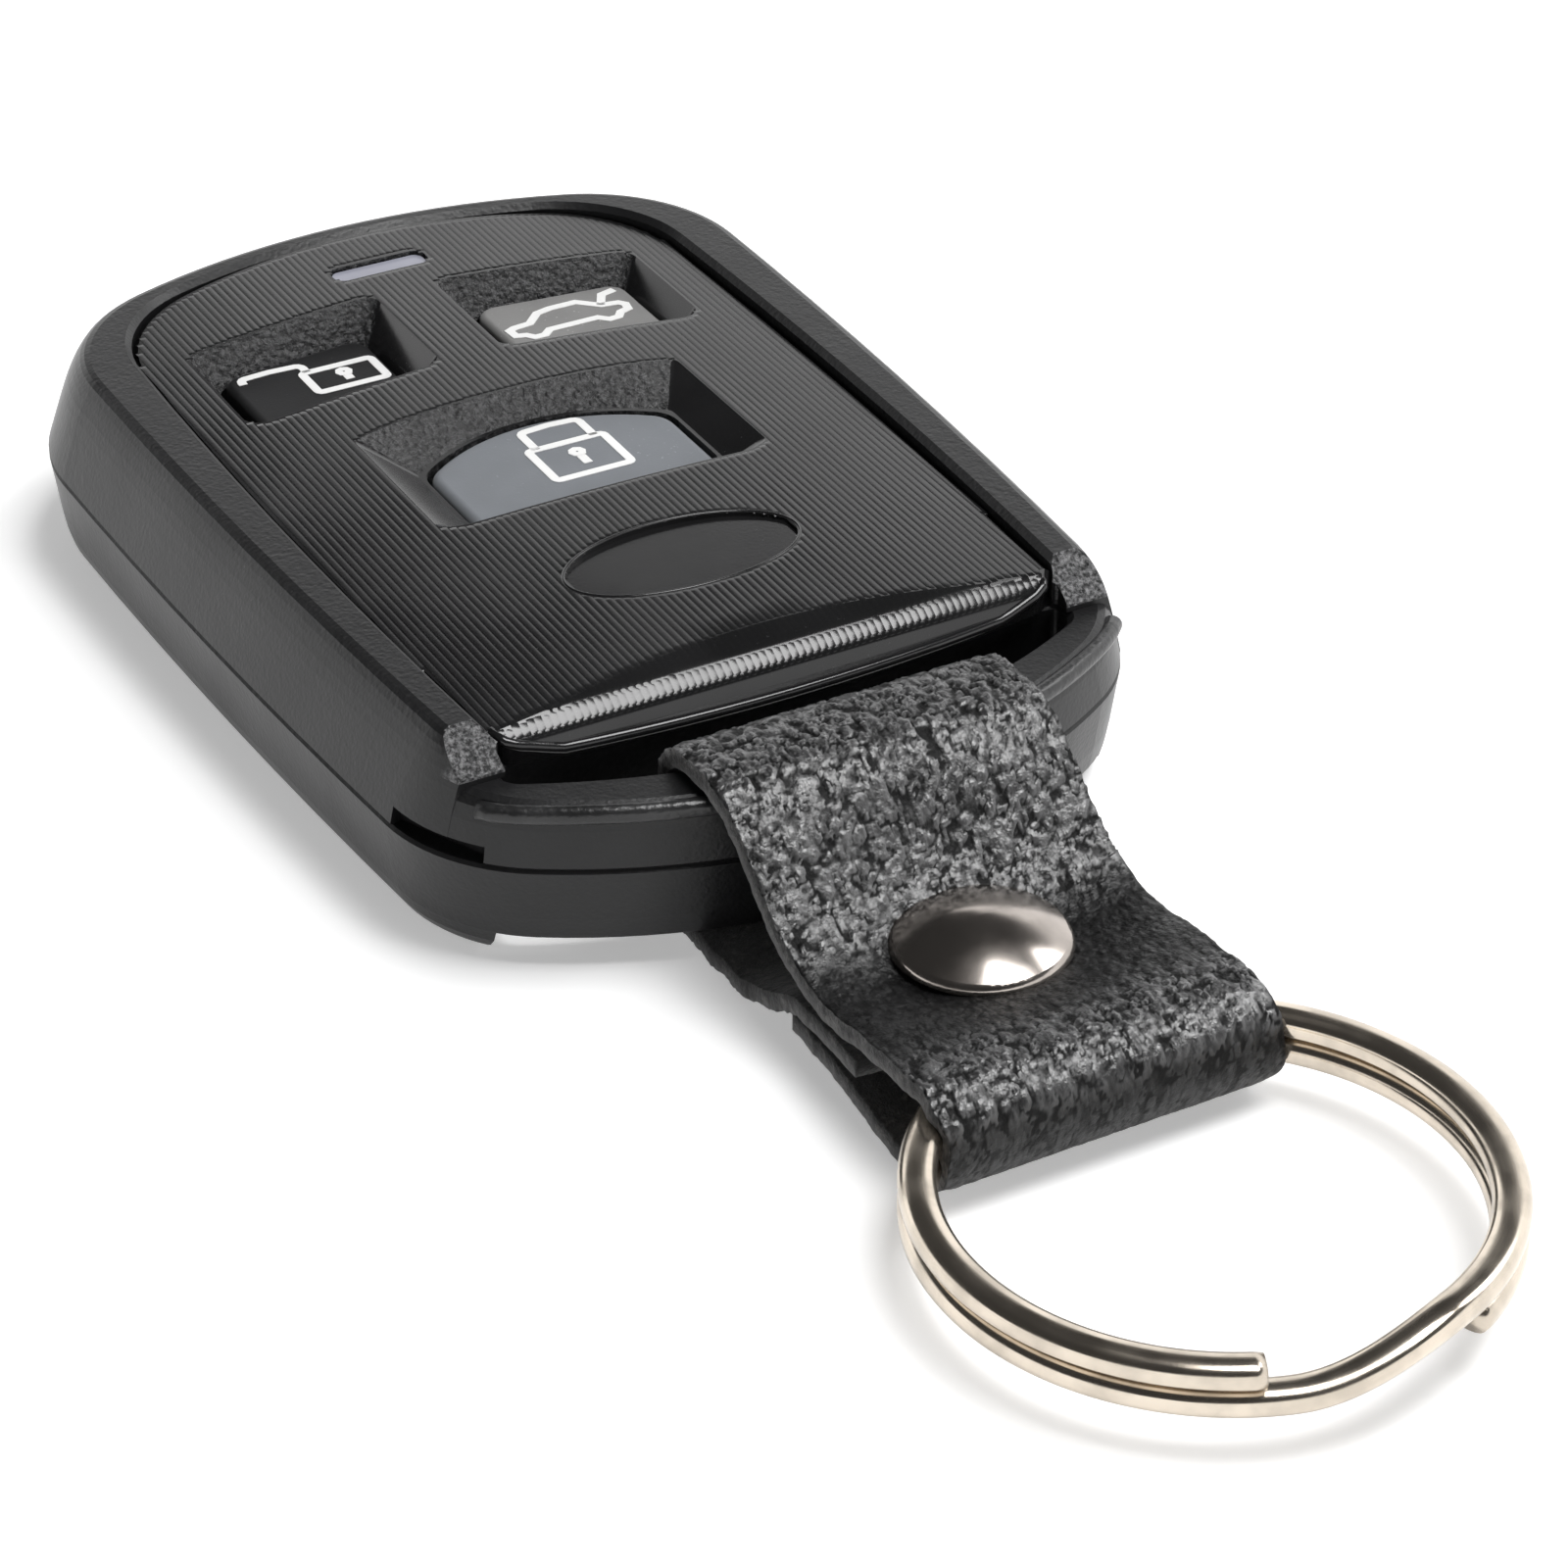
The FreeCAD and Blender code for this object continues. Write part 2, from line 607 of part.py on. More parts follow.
class Well:
    """A sloped well of the face panel, with the opening at its foot and the key that runs in it."""

    def __init__(self, corners, slopes, depth, arch, middle):
        self.corners, self.slopes = corners, slopes
        self.depth, self.arch = depth, arch
        self.x, self.y = middle

    def at(self, share):
        """Corners at a share of the way down the sloped walls."""
        return self.corners(*[slope * share for slope in self.slopes])

    def opening(self, gap=ZERO):
        """Corners of the opening at the foot, or of what runs in it with a gap all round."""
        return self.corners(*[slope + gap for slope in self.slopes])

    def draw_opening(self, sketch, gap=ZERO):
        """Draw the opening, its far side arched if the well has an arch."""
        if self.arch is None:
            polygon(sketch, self.opening(gap))
        else:
            arched(sketch, self.opening(gap), self.arch)

    def corner_places(self):
        """Middles of the edges where the sloped walls meet."""
        feet = self.opening()[:2] + self.far_ends()
        return [((x + foot_x) / 2, (y + foot_y) / 2) for (x, y), (foot_x, foot_y) in zip(self.at(0), feet)]

    def far_ends(self, gap=ZERO):
        """Far corners of the opening, or of what runs in it."""
        drop = ZERO if self.arch is None else self.arch
        return [(x, y - drop) for x, y in self.opening(gap)[2:]]


SIDE_SLOPES = (S.well_taper, S.well_taper, S.near_taper)
SIDE_X = (S.side_in + SIDE_OUT) / 2
SIDE_Y = (SIDE_NEAR + SIDE_FAR - S.side_slant - S.near_slant) / 2
LOCK_Y = (LOCK_NEAR + LOCK_FAR - S.lock_far_slope) / 2
WELLS = {
    "lock": Well(
        lock_corners, (S.lock_slope, S.lock_far_slope, S.near_taper), S.lock_drop, S.lock_arch,
        (ZERO, LOCK_Y),
    ),
    "unlock": Well(
        lambda *insets: side_corners(-1, *insets), SIDE_SLOPES, S.face_rise, None, (-SIDE_X, SIDE_Y),
    ),
    "trunk": Well(
        lambda *insets: side_corners(1, *insets), SIDE_SLOPES, S.face_rise, None, (SIDE_X, SIDE_Y),
    ),
}


# Case shells.

def cut_strap_slot(body, name, height):
    """Cut the strap slot right through a shell."""
    sketch = outline_sketch(body, name + "Plan", height, SLOT)
    return pocket(body, name, sketch, CASE_TOP * 3, both=True)


def cut_bevel(body, name, height, outline):
    """Bevel the upper edge of an opening."""
    wide = outline_sketch(body, name + "Top", height, outline.inset(-S.edge_bevel))
    deep = outline_sketch(body, name + "Foot", height - S.edge_bevel, outline)
    loft(body, name, [wide, deep], cut=True)


def cut_ramps(body):
    """Slope the side rails down at the strap end and clear the space in front of them."""
    ramp = sketch_on(body, "RampProfile", "YZ_Plane")
    beyond = BAR_FRONT + S.bar_depth
    above, below = CASE_TOP + S.wall, SEAM - S.wall
    ramp_end = RAMP_START + S.ramp_length
    polygon(ramp, [
        (-RAMP_START, CASE_TOP), (-ramp_end, RAMP_FOOT), (-ramp_end, below),
        (-beyond, below), (-beyond, above), (-RAMP_START, above),
    ])
    pocket(body, "Ramps", ramp, S.case_width * 2, both=True)


def add_bar(body):
    """Lower front of the shell, with the rounded bar that the strap passes round."""
    bevel, step = S.seam_bevel, S.bar_step
    climb = (BAR_TOP - SEAM - bevel) / (SHOULDER - SEAM - bevel)
    side, front = S.shoulder_inset * climb + step, S.front_inset * climb
    flat = S.bar_round * 2
    wall = softened([
        (SEAM + bevel, step, ZERO), (BAR_TOP, side, front),
        (BAR_TOP, side + flat, front + flat),
    ], S.rim_share)
    wall_loft(body, "BarWall", [(SEAM, bevel + step, bevel)] + wall[:-1])


def make_upper_shell():
    """Upper shell: drafted wall, rim round the face recess, deck with key openings and strap bar."""
    body = new_body("UpperShell")
    bevel = S.seam_bevel
    rim_side, rim_front = S.shoulder_inset + S.rim_bevel, S.front_inset + S.rim_bevel
    flat = S.rim_round * 2
    wall = softened([
        (SEAM + bevel, ZERO, ZERO), (SHOULDER, S.shoulder_inset, S.front_inset),
        (CASE_TOP, rim_side, rim_front), (CASE_TOP, rim_side + flat, rim_front + flat),
    ], S.rim_share)
    wall_loft(body, "UpperWall", [(SEAM, bevel, bevel)] + wall[:-1])
    cut_ramps(body)
    add_bar(body)

    recess = outline_sketch(body, "FaceRecessPlan", CASE_TOP, FACE.inset(-S.face_gap))
    pocket(body, "FaceRecess", recess, CASE_TOP - FACE_SEAT)
    cut_bevel(body, "RimBevel", CASE_TOP, FACE.inset(-S.face_gap))
    cavity = outline_sketch(body, "UpperCavityPlan", SEAM, CAVITY)
    pocket(body, "UpperCavity", cavity, DECK_FOOT - SEAM, up=True)
    cut_strap_slot(body, "UpperStrapSlot", SEAM)
    cut_bevel(body, "BarBevel", BAR_TOP, SLOT)

    openings = sketch_on(body, "DeckOpenings", "XY_Plane", FACE_SEAT)
    for well in WELLS.values():
        polygon(openings, well.opening())
    lamp_half, lamp_reach = S.lamp_length / 2, S.lamp_width / 2
    rectangle(openings, -lamp_half, lamp_half, LAMP_Y - lamp_reach, LAMP_Y + lamp_reach)
    pocket(body, "DeckOpening", openings, S.deck_wall)

    posts = sketch_on(body, "UpperPostPlan", "XY_Plane", BOARD_TOP)
    for x, y in POSTS:
        circle(posts, x, y, S.post_radius)
    pad(body, "UpperPosts", posts, DECK_FOOT - BOARD_TOP)

    cut_pry_slot(body)
    keep(body, "upper_shell")


def cut_pry_slot(body):
    """Slot in the seam at the front left corner, for a blade that opens the case."""
    centre = CASE.front_left()
    turn = math.radians(S.pry_turn.value)
    outward = (-math.cos(turn), -math.sin(turn))
    along = (-outward[1], outward[0])
    half, deep, clear = S.pry_length / 2, S.front_corner - S.pry_depth, S.front_corner + S.wall
    corners = []
    for end, reach in ((-half, clear), (half, clear), (half, deep), (-half, deep)):
        corners.append((reach * outward[0] + end * along[0] + centre.x,
                        reach * outward[1] + end * along[1] + centre.y))
    sketch = sketch_on(body, "PryPlan", "XY_Plane", SEAM)
    polygon(sketch, corners)
    pocket(body, "PrySlot", sketch, S.pry_height, up=True)


def make_lower_shell():
    """Lower shell: tray with a rounded foot, posts for the board, a rib for the cell, strap relief."""
    body = new_body("LowerShell")
    bevel = S.seam_bevel
    base = S.foot_inset + S.base_inset
    flat = base + S.foot_round * 2
    wall = softened([
        (SEAM - bevel, ZERO, ZERO), (S.foot_height, S.foot_inset, S.foot_inset),
        (ZERO, base, base), (ZERO, flat, flat),
    ], S.rim_share)
    wall_loft(body, "LowerWall", [(SEAM, bevel, bevel)] + wall[:-1])

    cavity = outline_sketch(body, "LowerCavityPlan", SEAM, CAVITY)
    pocket(body, "LowerCavity", cavity, SEAM - S.floor_wall)
    cut_strap_slot(body, "LowerStrapSlot", SEAM)
    relief = sketch_on(body, "ReliefPlan", "XY_Plane")
    half = SLOT_HALF + S.relief_margin
    rectangle(relief, -half, half, -(BAR_FRONT + S.bar_depth), -SLOT_BACK)
    pocket(body, "StrapRelief", relief, S.relief_height, up=True)

    posts = sketch_on(body, "LowerPostPlan", "XY_Plane", S.floor_wall)
    for x, y in POSTS:
        circle(posts, x, y, S.post_radius)
    pad(body, "LowerPosts", posts, BOARD_FOOT - S.floor_wall)

    rib = sketch_on(body, "CellRibPlan", "XY_Plane", S.floor_wall)
    inner = S.cell_radius + S.cell_gap
    circle(rib, ZERO, S.cell_place, inner)
    circle(rib, ZERO, S.cell_place, inner + S.rib_wall)
    pad(body, "CellRib", rib, S.rib_rise)
    notch = sketch_on(body, "RibNotchPlan", "XY_Plane", S.floor_wall)
    room = S.contact_width / 2 + S.contact_gap
    rectangle(notch, S.cell_radius / 2, inner + S.rib_wall * 2, S.cell_place - room, S.cell_place + room)
    pocket(body, "RibNotch", notch, S.rib_rise, up=True)
    keep(body, "lower_shell")


def make_face_panel():
    """Face panel: crowned plate with three sloped wells, a lamp slot, an oval recess and a rolled nose."""
    body = new_body("FacePanel")
    plan = outline_sketch(body, "FacePlan", FACE_SEAT, FACE)
    pad(body, "FacePlate", plan, S.face_rise)

    crown = sketch_on(body, "CrownProfile", "XZ_Plane")
    reach = FACE_HALF * 2
    centre = FACE_TOP - S.crown_radius
    drop = S.crown_radius.value - math.sqrt(S.crown_radius.value ** 2 - reach.value ** 2)
    left = FreeCAD.Vector(-reach.value, FACE_TOP.value - drop, 0)
    right = FreeCAD.Vector(reach.value, FACE_TOP.value - drop, 0)
    above = FACE_TOP + S.wall
    arc = crown.addGeometry(arc_of(vector(ZERO, centre), S.crown_radius.value, right, left))
    up_left = FreeCAD.Vector(left.x, above.value, 0)
    up_right = FreeCAD.Vector(right.x, above.value, 0)
    for ends in ((left, up_left), (up_left, up_right), (up_right, right)):
        crown.addGeometry(Part.LineSegment(*ends))
    for one, two in ((arc, arc + 1), (arc + 1, arc + 2), (arc + 2, arc + 3), (arc + 3, arc)):
        crown.addConstraint(Sketcher.Constraint("Coincident", one, 2, two, 1))
    pin(crown, arc, 3, ZERO, centre)
    dimension(crown, "Radius", arc, size=S.crown_radius)
    for line in (arc + 1, arc + 3):
        crown.addConstraint(Sketcher.Constraint("Vertical", line))
    pin(crown, arc + 1, 2, -reach, above)
    pin(crown, arc + 2, 2, reach, above)
    pocket(body, "Crown", crown, S.case_length * 2, both=True)

    cut_nose(body)
    for name, well in WELLS.items():
        cut_well(body, name, well)

    oval = sketch_on(body, "OvalPlan", "XY_Plane", FACE_TOP)
    major = vector(S.oval_length / 2, OVAL_Y)
    minor = vector(ZERO, OVAL_Y + S.oval_width / 2)
    middle = vector(ZERO, OVAL_Y)
    geo = oval.addGeometry(Part.Ellipse(major, minor, middle))
    oval.exposeInternalGeometry(geo)
    pin(oval, geo, 3, ZERO, OVAL_Y)
    dimension(oval, "DistanceX", geo + 1, 1, geo + 1, 2, size=-S.oval_length)
    dimension(oval, "DistanceY", geo + 2, 1, geo + 2, 2, size=-S.oval_width)
    oval.addConstraint(Sketcher.Constraint("Horizontal", geo + 1))
    pocket(body, "OvalRecess", oval, S.oval_depth)

    lamp = sketch_on(body, "LampPlan", "XY_Plane", CASE_TOP)
    half, reach = S.lamp_length / 2, S.lamp_width / 2
    rectangle(lamp, -half, half, LAMP_Y - reach, LAMP_Y + reach)
    pocket(body, "LampSlot", lamp, CASE_TOP - FACE_SEAT)
    corners = [(half * side, LAMP_Y + reach * way) for side in (1, -1) for way in (1, -1)]
    fillet(body, "LampRound", steep_edges(solid_tip(body).Shape, corners), S.lamp_round)
    keep(body, "face_panel")


def cut_well(body, name, well):
    """Cut a well's sloped walls and, where they end above the panel's seat, the bore inside their foot."""
    foot = FACE_TOP - well.depth
    if well.arch is not None:
        bore = sketch_on(body, f"{name}BorePlan", "XY_Plane", CASE_TOP)
        well.draw_opening(bore, S.lock_ledge)
        pocket(body, f"{name}Bore", bore, CASE_TOP - FACE_SEAT)
        ends = well.opening(S.lock_ledge)[:2] + well.far_ends(S.lock_ledge)
        fillet(body, f"{name}BoreRound", steep_edges(solid_tip(body).Shape, ends), S.lock_corner)
    above = (FACE_TOP - CASE_TOP) / well.depth
    upper = sketch_on(body, f"{name}WellTop", "XY_Plane", CASE_TOP)
    polygon(upper, well.at(above))
    lower = sketch_on(body, f"{name}WellFoot", "XY_Plane", foot)
    well.draw_opening(lower)
    loft(body, f"{name}Well", [upper, lower], cut=True)
    edges = steep_edges(solid_tip(body).Shape, well.corner_places(), S.well_round.value)
    fillet(body, f"{name}WellRound", edges, S.well_round)


def cut_nose(body):
    """Roll the front of the panel down to its thin lip."""
    nose = sketch_on(body, "NoseProfile", "YZ_Plane")
    lip = FACE_SEAT + S.lip_rise
    run, fall = NOSE_END - NOSE_START, FACE_TOP - lip
    above, beyond = FACE_TOP + S.wall, FACE_FRONT + S.wall
    bends = [(-(NOSE_START + run * along), FACE_TOP - fall * down)
             for along, down in (NOSE_SHOULDER, NOSE_KNEE)]
    polygon(nose, [
        (-NOSE_START, FACE_TOP), *bends, (-NOSE_END, lip),
        (-beyond, lip), (-beyond, above), (-NOSE_START, above),
    ])
    pocket(body, "Nose", nose, S.case_width * 2, both=True)
    edges = []
    for index, edge in enumerate(solid_tip(body).Shape.Edges, start=1):
        middle = edge.CenterOfMass
        spans = edge.BoundBox.XLength > FACE_HALF.value
        for y, z in bends:
            if spans and abs(middle.y - y.value) < NEAR and abs(middle.z - z.value) < STEEP:
                edges.append(f"Edge{index}")
    fillet(body, "NoseRound", edges, S.nose_round)


# Keys, keypad and lamp.

def make_key(name):
    """A key that stands on its switch plunger and runs in the foot of its well."""
    well = WELLS[name]
    wide = well.arch is not None
    sink, rounding = (S.lock_sink, S.lock_round) if wide else (S.key_sink, S.key_round)
    gap = S.lock_ledge + S.key_gap if wide else S.key_gap
    rise = FACE_TOP - sink - KEY_FOOT
    body = new_body(f"{name.title()}Key")
    plan = sketch_on(body, f"{name}KeyPlan", "XY_Plane", KEY_FOOT)
    well.draw_opening(plan, gap)
    pad(body, f"{name}KeyBlock", plan, rise)
    far_round = S.lock_corner if wide else S.well_round
    far = steep_edges(solid_tip(body).Shape, well.far_ends(gap))
    fillet(body, f"{name}KeyFar", far, far_round)
    near = steep_edges(solid_tip(body).Shape, well.opening(gap)[:2])
    fillet(body, f"{name}KeyNear", near, S.well_round)
    fillet(body, f"{name}KeyTop", flat_edges(solid_tip(body).Shape, KEY_FOOT + rise), rounding)
    keep(body, f"{name}_key")


def make_keypad_mat():
    """Silicone web between the deck and the board, with an opening for each key."""
    body = new_body("KeypadMat")
    plan = sketch_on(body, "MatPlan", "XY_Plane", DECK_FOOT - S.mat_wall)
    half = SIDE_OUT - S.well_taper + S.mat_margin
    near = LOCK_NEAR - S.mat_margin
    far = SIDE_FAR - S.well_taper + S.mat_margin
    rectangle(plan, -half, half, near, far)
    for well in WELLS.values():
        polygon(plan, well.opening())
    pad(body, "MatWeb", plan, S.mat_wall)
    keep(body, "keypad_mat")


def make_light_pipe():
    """Clear bar that carries the lamp's light up to the slot in the face."""
    body = new_body("LightPipe")
    half, reach = S.lamp_length / 2 - S.lamp_gap, S.lamp_width / 2 - S.lamp_gap
    flange = S.lamp_flange
    base = sketch_on(body, "PipeFlangePlan", "XY_Plane", DECK_FOOT - S.lamp_flange_rise)
    low, high = LAMP_Y - reach - flange, LAMP_Y + reach + flange
    rectangle(base, -half - flange, half + flange, low, high)
    pad(body, "PipeFlange", base, S.lamp_flange_rise)
    stem = sketch_on(body, "PipeStemPlan", "XY_Plane", BOARD_TOP + S.led_rise)
    rectangle(stem, -half, half, LAMP_Y - reach, LAMP_Y + reach)
    pad(body, "PipeStem", stem, FACE_TOP - S.lamp_sink - BOARD_TOP - S.led_rise)
    corners = [(half * side, LAMP_Y + reach * way) for side in (1, -1) for way in (1, -1)]
    fillet(body, "PipeRound", steep_edges(solid_tip(body).Shape, corners), S.lamp_round - S.lamp_gap)
    keep(body, "light_pipe")


# Electronics.

def box(name, x, y, z, size_x, size_y, size_z):
    """A block whose middle stands at x, y on the height z."""
    block = doc.addObject("Part::Box", name)
    bind(block, "Length", size_x)
    bind(block, "Width", size_y)
    bind(block, "Height", size_z)
    bind(block, "Placement.Base.x", Size.of(x) - Size.of(size_x) / 2)
    bind(block, "Placement.Base.y", Size.of(y) - Size.of(size_y) / 2)
    bind(block, "Placement.Base.z", z)
    return block


def cylinder(name, x, y, z, radius, height):
    post = doc.addObject("Part::Cylinder", name)
    bind(post, "Radius", radius)
    bind(post, "Height", height)
    bind(post, "Placement.Base.x", x)
    bind(post, "Placement.Base.y", y)
    bind(post, "Placement.Base.z", z)
    return post


def make_board():
    body = new_body("CircuitBoard")
    plan = outline_sketch(body, "BoardPlan", BOARD_FOOT, CAVITY.inset(S.board_gap))
    pad(body, "Board", plan, S.board_wall)
    keep(body, "circuit_board")


def make_switch(name):
    """Switch housing with its plunger, under one key."""
    x, y = WELLS[name].x, WELLS[name].y
    housing = box(f"{name}Housing", x, y, BOARD_TOP, S.switch_width, S.switch_width, S.switch_rise)
    room = S.plunger_radius + S.plunger_gap
    bore = cylinder(f"{name}Bore", x, y, BOARD_TOP, room, S.switch_rise * 2)
    cut = doc.addObject("Part::Cut", f"{name}Switch")
    cut.Base, cut.Tool = housing, bore
    keep(cut, f"{name}_switch")
    foot = SWITCH_TOP - S.plunger_sink
    plunger = cylinder(f"{name}Plunger", x, y, foot, S.plunger_radius, S.plunger_sink + S.plunger_rise)
    keep(plunger, f"{name}_plunger")


def make_small_parts():
    """Control chip, resonator can, indicator lamp and chip capacitors on the board's top."""
    chip = box("Chip", 0, CHIP_Y, BOARD_TOP, S.chip_length, S.chip_width, S.chip_rise)
    keep(chip, "control_chip")
    can = box("Can", S.can_x, CHIP_Y, BOARD_TOP, S.can_width, S.can_length, S.can_rise)
    keep(can, "resonator_can")
    led = box("Led", 0, LAMP_Y, BOARD_TOP, S.led_length, S.led_width, S.led_rise)
    keep(led, "indicator_lamp")
    group = doc.addObject("Part::Compound", "Capacitors")
    links = []
    for i in range(4):
        y = CHIP_Y + S.passive_pitch * (i - 1.5)
        links.append(box(f"Capacitor{i}", S.passive_x, y, BOARD_TOP,
                         S.passive_length, S.passive_width, S.passive_rise))
    group.Links = links
    keep(group, "chip_capacitors")


def make_cell():
    """Coin cell: can above, narrower negative cap below."""
    can = cylinder("CellCan", 0, S.cell_place, CELL_FOOT + S.cell_step, S.cell_radius,
                   S.cell_rise - S.cell_step)
    cap = cylinder("CellCap", 0, S.cell_place, CELL_FOOT, S.cell_cap_radius, S.cell_step)
    cell = doc.addObject("Part::Fuse", "Cell")
    cell.Base, cell.Tool = can, cap
    keep(cell, "coin_cell")


def make_contacts():
    """Strips that join the cell's two poles to the board."""
    positive = box("PositiveStrip", 0, S.cell_place, CELL_FOOT + S.cell_rise,
                   S.contact_reach * 2, S.contact_width, S.contact_wall)
    keep(positive, "positive_contact")
    body = new_body("NegativeContact")
    profile = sketch_on(body, "NegativeProfile", "XZ_Plane", -S.cell_place)
    riser = S.cell_radius + S.cell_gap + S.rib_wall + S.contact_gap
    outer = riser + S.contact_wall
    polygon(profile, [
        (-S.contact_reach, S.floor_wall), (outer, S.floor_wall), (outer, BOARD_FOOT),
        (riser, BOARD_FOOT), (riser, CELL_FOOT), (-S.contact_reach, CELL_FOOT),
    ])
    pad(body, "NegativeStrip", profile, S.contact_width, both=True)
    keep(body, "negative_contact")


# Strap, rivet and ring.

BEND = 1.2  # outer bends of the leather, in thicknesses
CLAMP_LAYERS = 3  # layers of leather under the rivet cap
FLEX_Y = -(BAR_FRONT + S.flex_reach)
CLAMP = S.leather * CLAMP_LAYERS
CLAMP_FOOT = S.rivet_base_rise
CLAMP_TOP = CLAMP_FOOT + CLAMP
FLEX_Z = CLAMP_FOOT + CLAMP / 2
RIVET_Y = FLEX_Y - S.rivet_reach
CLAMP_END = RIVET_Y - S.clamp_reach
WIRE_LINE = S.ring_radius - S.wire_radius
STACK = S.coil_pitch + S.wire_radius * 2
FOLD_FOOT = S.strap_lift
FOLD_TOP = FOLD_FOOT + S.leather * 2 + STACK + S.ring_room * 2
RING_Z = FOLD_FOOT + S.leather + S.ring_room + STACK / 2
RING_BACK = CLAMP_END - S.leather - S.ring_room
RING_Y = RING_BACK - S.ring_radius


def ring_depth():
    """How far the ring's inner edge comes forward at the strap's edges, from the ring's back."""
    inner = S.ring_radius.value - 2 * S.wire_radius.value
    half = S.strap_width.value / 2
    return S.ring_radius.value - math.sqrt(inner * inner - half * half)


FOLD_INNER = RING_BACK - Size.of(ring_depth()) - S.fold_end
FOLD_OUTER = FOLD_INNER - S.leather
SWING_Y = (RING_BACK + FOLD_INNER) / 2


def strap_sketch(body, name):
    return sketch_on(body, name, "YZ_Plane", S.strap_shift)


def make_strap_loop():
    """The strap's loop round the strap bar, as far as the line where it flexes."""
    body = new_body("StrapLoop")
    profile = strap_sketch(body, "LoopProfile")
    half = S.strap_width / 2 + S.strap_shift
    rise = SLOT_BOW.value - math.sqrt(SLOT_BOW.value ** 2 - half.value ** 2)
    inner = -(SLOT_FRONT - Size.of(rise) - S.strap_gap)
    outer = inner + S.leather
    low, low_top = S.strap_lift, S.strap_lift + S.leather
    high, high_top = BAR_TOP + S.strap_gap, BAR_TOP + S.strap_gap + S.leather
    front = -(BAR_FRONT + S.strap_gap)
    end = FLEX_Y + CLAMP / 2 + S.flex_gap
    gap = S.flex_gap / 2
    foot, top = CLAMP_FOOT, CLAMP_TOP
    fall = S.leather * BEND
    polygon(profile, [
        (end, foot), (front, low), (outer - fall, low), (outer, low + fall), (outer, high_top - fall),
        (outer - fall, high_top), (front, high_top), (front - fall, high_top - fall), (end, top),
        (end, FLEX_Z + gap), (front, BAR_TOP - S.bar_round), (front, high), (inner, high), (inner, low_top),
        (front, low_top), (end, FLEX_Z - gap),
    ])
    pad(body, "Loop", profile, S.strap_width, both=True)
    keep(body, "strap_loop")


def make_strap_end():
    """The strap from its flex line through the rivet to the fold that holds the ring."""
    body = new_body("StrapEnd")
    profile = strap_sketch(body, "EndProfile")
    foot, top = CLAMP_FOOT, CLAMP_TOP
    back = RING_BACK + S.ring_room
    fall = S.leather * BEND
    root = []
    for turn in (-90, -60, -30, 0, 30, 60, 90):
        along, up = math.cos(math.radians(turn)), math.sin(math.radians(turn))
        root.append((FLEX_Y + CLAMP / 2 * along, FLEX_Z + CLAMP / 2 * up))
    polygon(profile, root + [
        (CLAMP_END, top), (CLAMP_END - S.fold_slope, FOLD_TOP - fall), (CLAMP_END - fall, FOLD_TOP),
        (FOLD_OUTER + fall, FOLD_TOP), (FOLD_OUTER, FOLD_TOP - fall), (FOLD_OUTER, FOLD_FOOT + fall),
        (FOLD_OUTER + fall, FOLD_FOOT), (back, FOLD_FOOT), (CLAMP_END, foot),
    ])
    polygon(profile, [
        (back, FOLD_FOOT + S.leather), (back, FOLD_TOP - S.leather),
        (FOLD_INNER, FOLD_TOP - S.leather), (FOLD_INNER, FOLD_FOOT + S.leather),
    ])
    pad(body, "End", profile, S.strap_width, both=True)
    hole = sketch_on(body, "RivetHole", "XY_Plane", top)
    circle(hole, S.strap_shift, RIVET_Y, S.post_bore + S.post_gap)
    pocket(body, "RivetBore", hole, CLAMP)
    keep(body, "strap_end")


def revolved(name, points, dome=None):
    """A turned piece on the rivet's axis, from half a profile; dome adds an arc between its last points."""
    body = new_body(name)
    profile = sketch_on(body, name + "Profile", "XZ_Plane", -RIVET_Y)
    bind(profile, "AttachmentOffset.Base.x", S.strap_shift)
    first = profile.GeometryCount
    count = len(points)
    for i in range(count):
        one, two = points[i], points[(i + 1) % count]
        if dome == i:
            radius = ((two[0] - one[0]).value ** 2 + (two[1] - one[1]).value ** 2)
            radius /= 2 * (two[1] - one[1]).value
            centre = FreeCAD.Vector(0, two[1].value - radius, 0)
            profile.addGeometry(arc_of(centre, radius, vector(*one), vector(*two)))
        else:
            profile.addGeometry(Part.LineSegment(vector(*one), vector(*two)))
    for i in range(count):
        profile.addConstraint(Sketcher.Constraint("Coincident", first + i, 2, first + (i + 1) % count, 1))
        pin(profile, first + i, 1, *points[i])
    if dome is not None:
        profile.addConstraint(Sketcher.Constraint("PointOnObject", first + dome, 3, -2))
    feature = body.newObject("PartDesign::Revolution", name + "Turn")
    feature.Profile = profile
    feature.ReferenceAxis = (profile, ["V_Axis"])
    feature.Angle = 360
    doc.recompute()
    return body


def make_rivet():
    """Dome cap above the strap and a flanged post from below."""
    seat, roll = CLAMP_TOP, S.rivet_roll
    post_top = seat + S.rivet_dome / 2
    base = revolved("RivetBase", [
        (ZERO, ZERO), (S.rivet_base_radius - roll, ZERO), (S.rivet_base_radius, roll),
        (S.rivet_base_radius, CLAMP_FOOT), (S.post_bore, CLAMP_FOOT), (S.post_bore, post_top),
        (ZERO, post_top),
    ])
    keep(base, "rivet_base")
    bore = S.post_bore + S.post_gap
    edge = seat + S.rivet_rim
    cap = revolved("RivetCap", [
        (bore, seat), (S.rivet_radius - roll, seat), (S.rivet_radius, seat + roll),
        (S.rivet_radius, edge), (ZERO, seat + S.rivet_dome), (ZERO, post_top), (bore, post_top),
    ], dome=3)
    fillet(cap, "RivetCapRound", flat_edges(solid_tip(cap).Shape, edge), S.rivet_round)
    keep(cap, "rivet_cap")


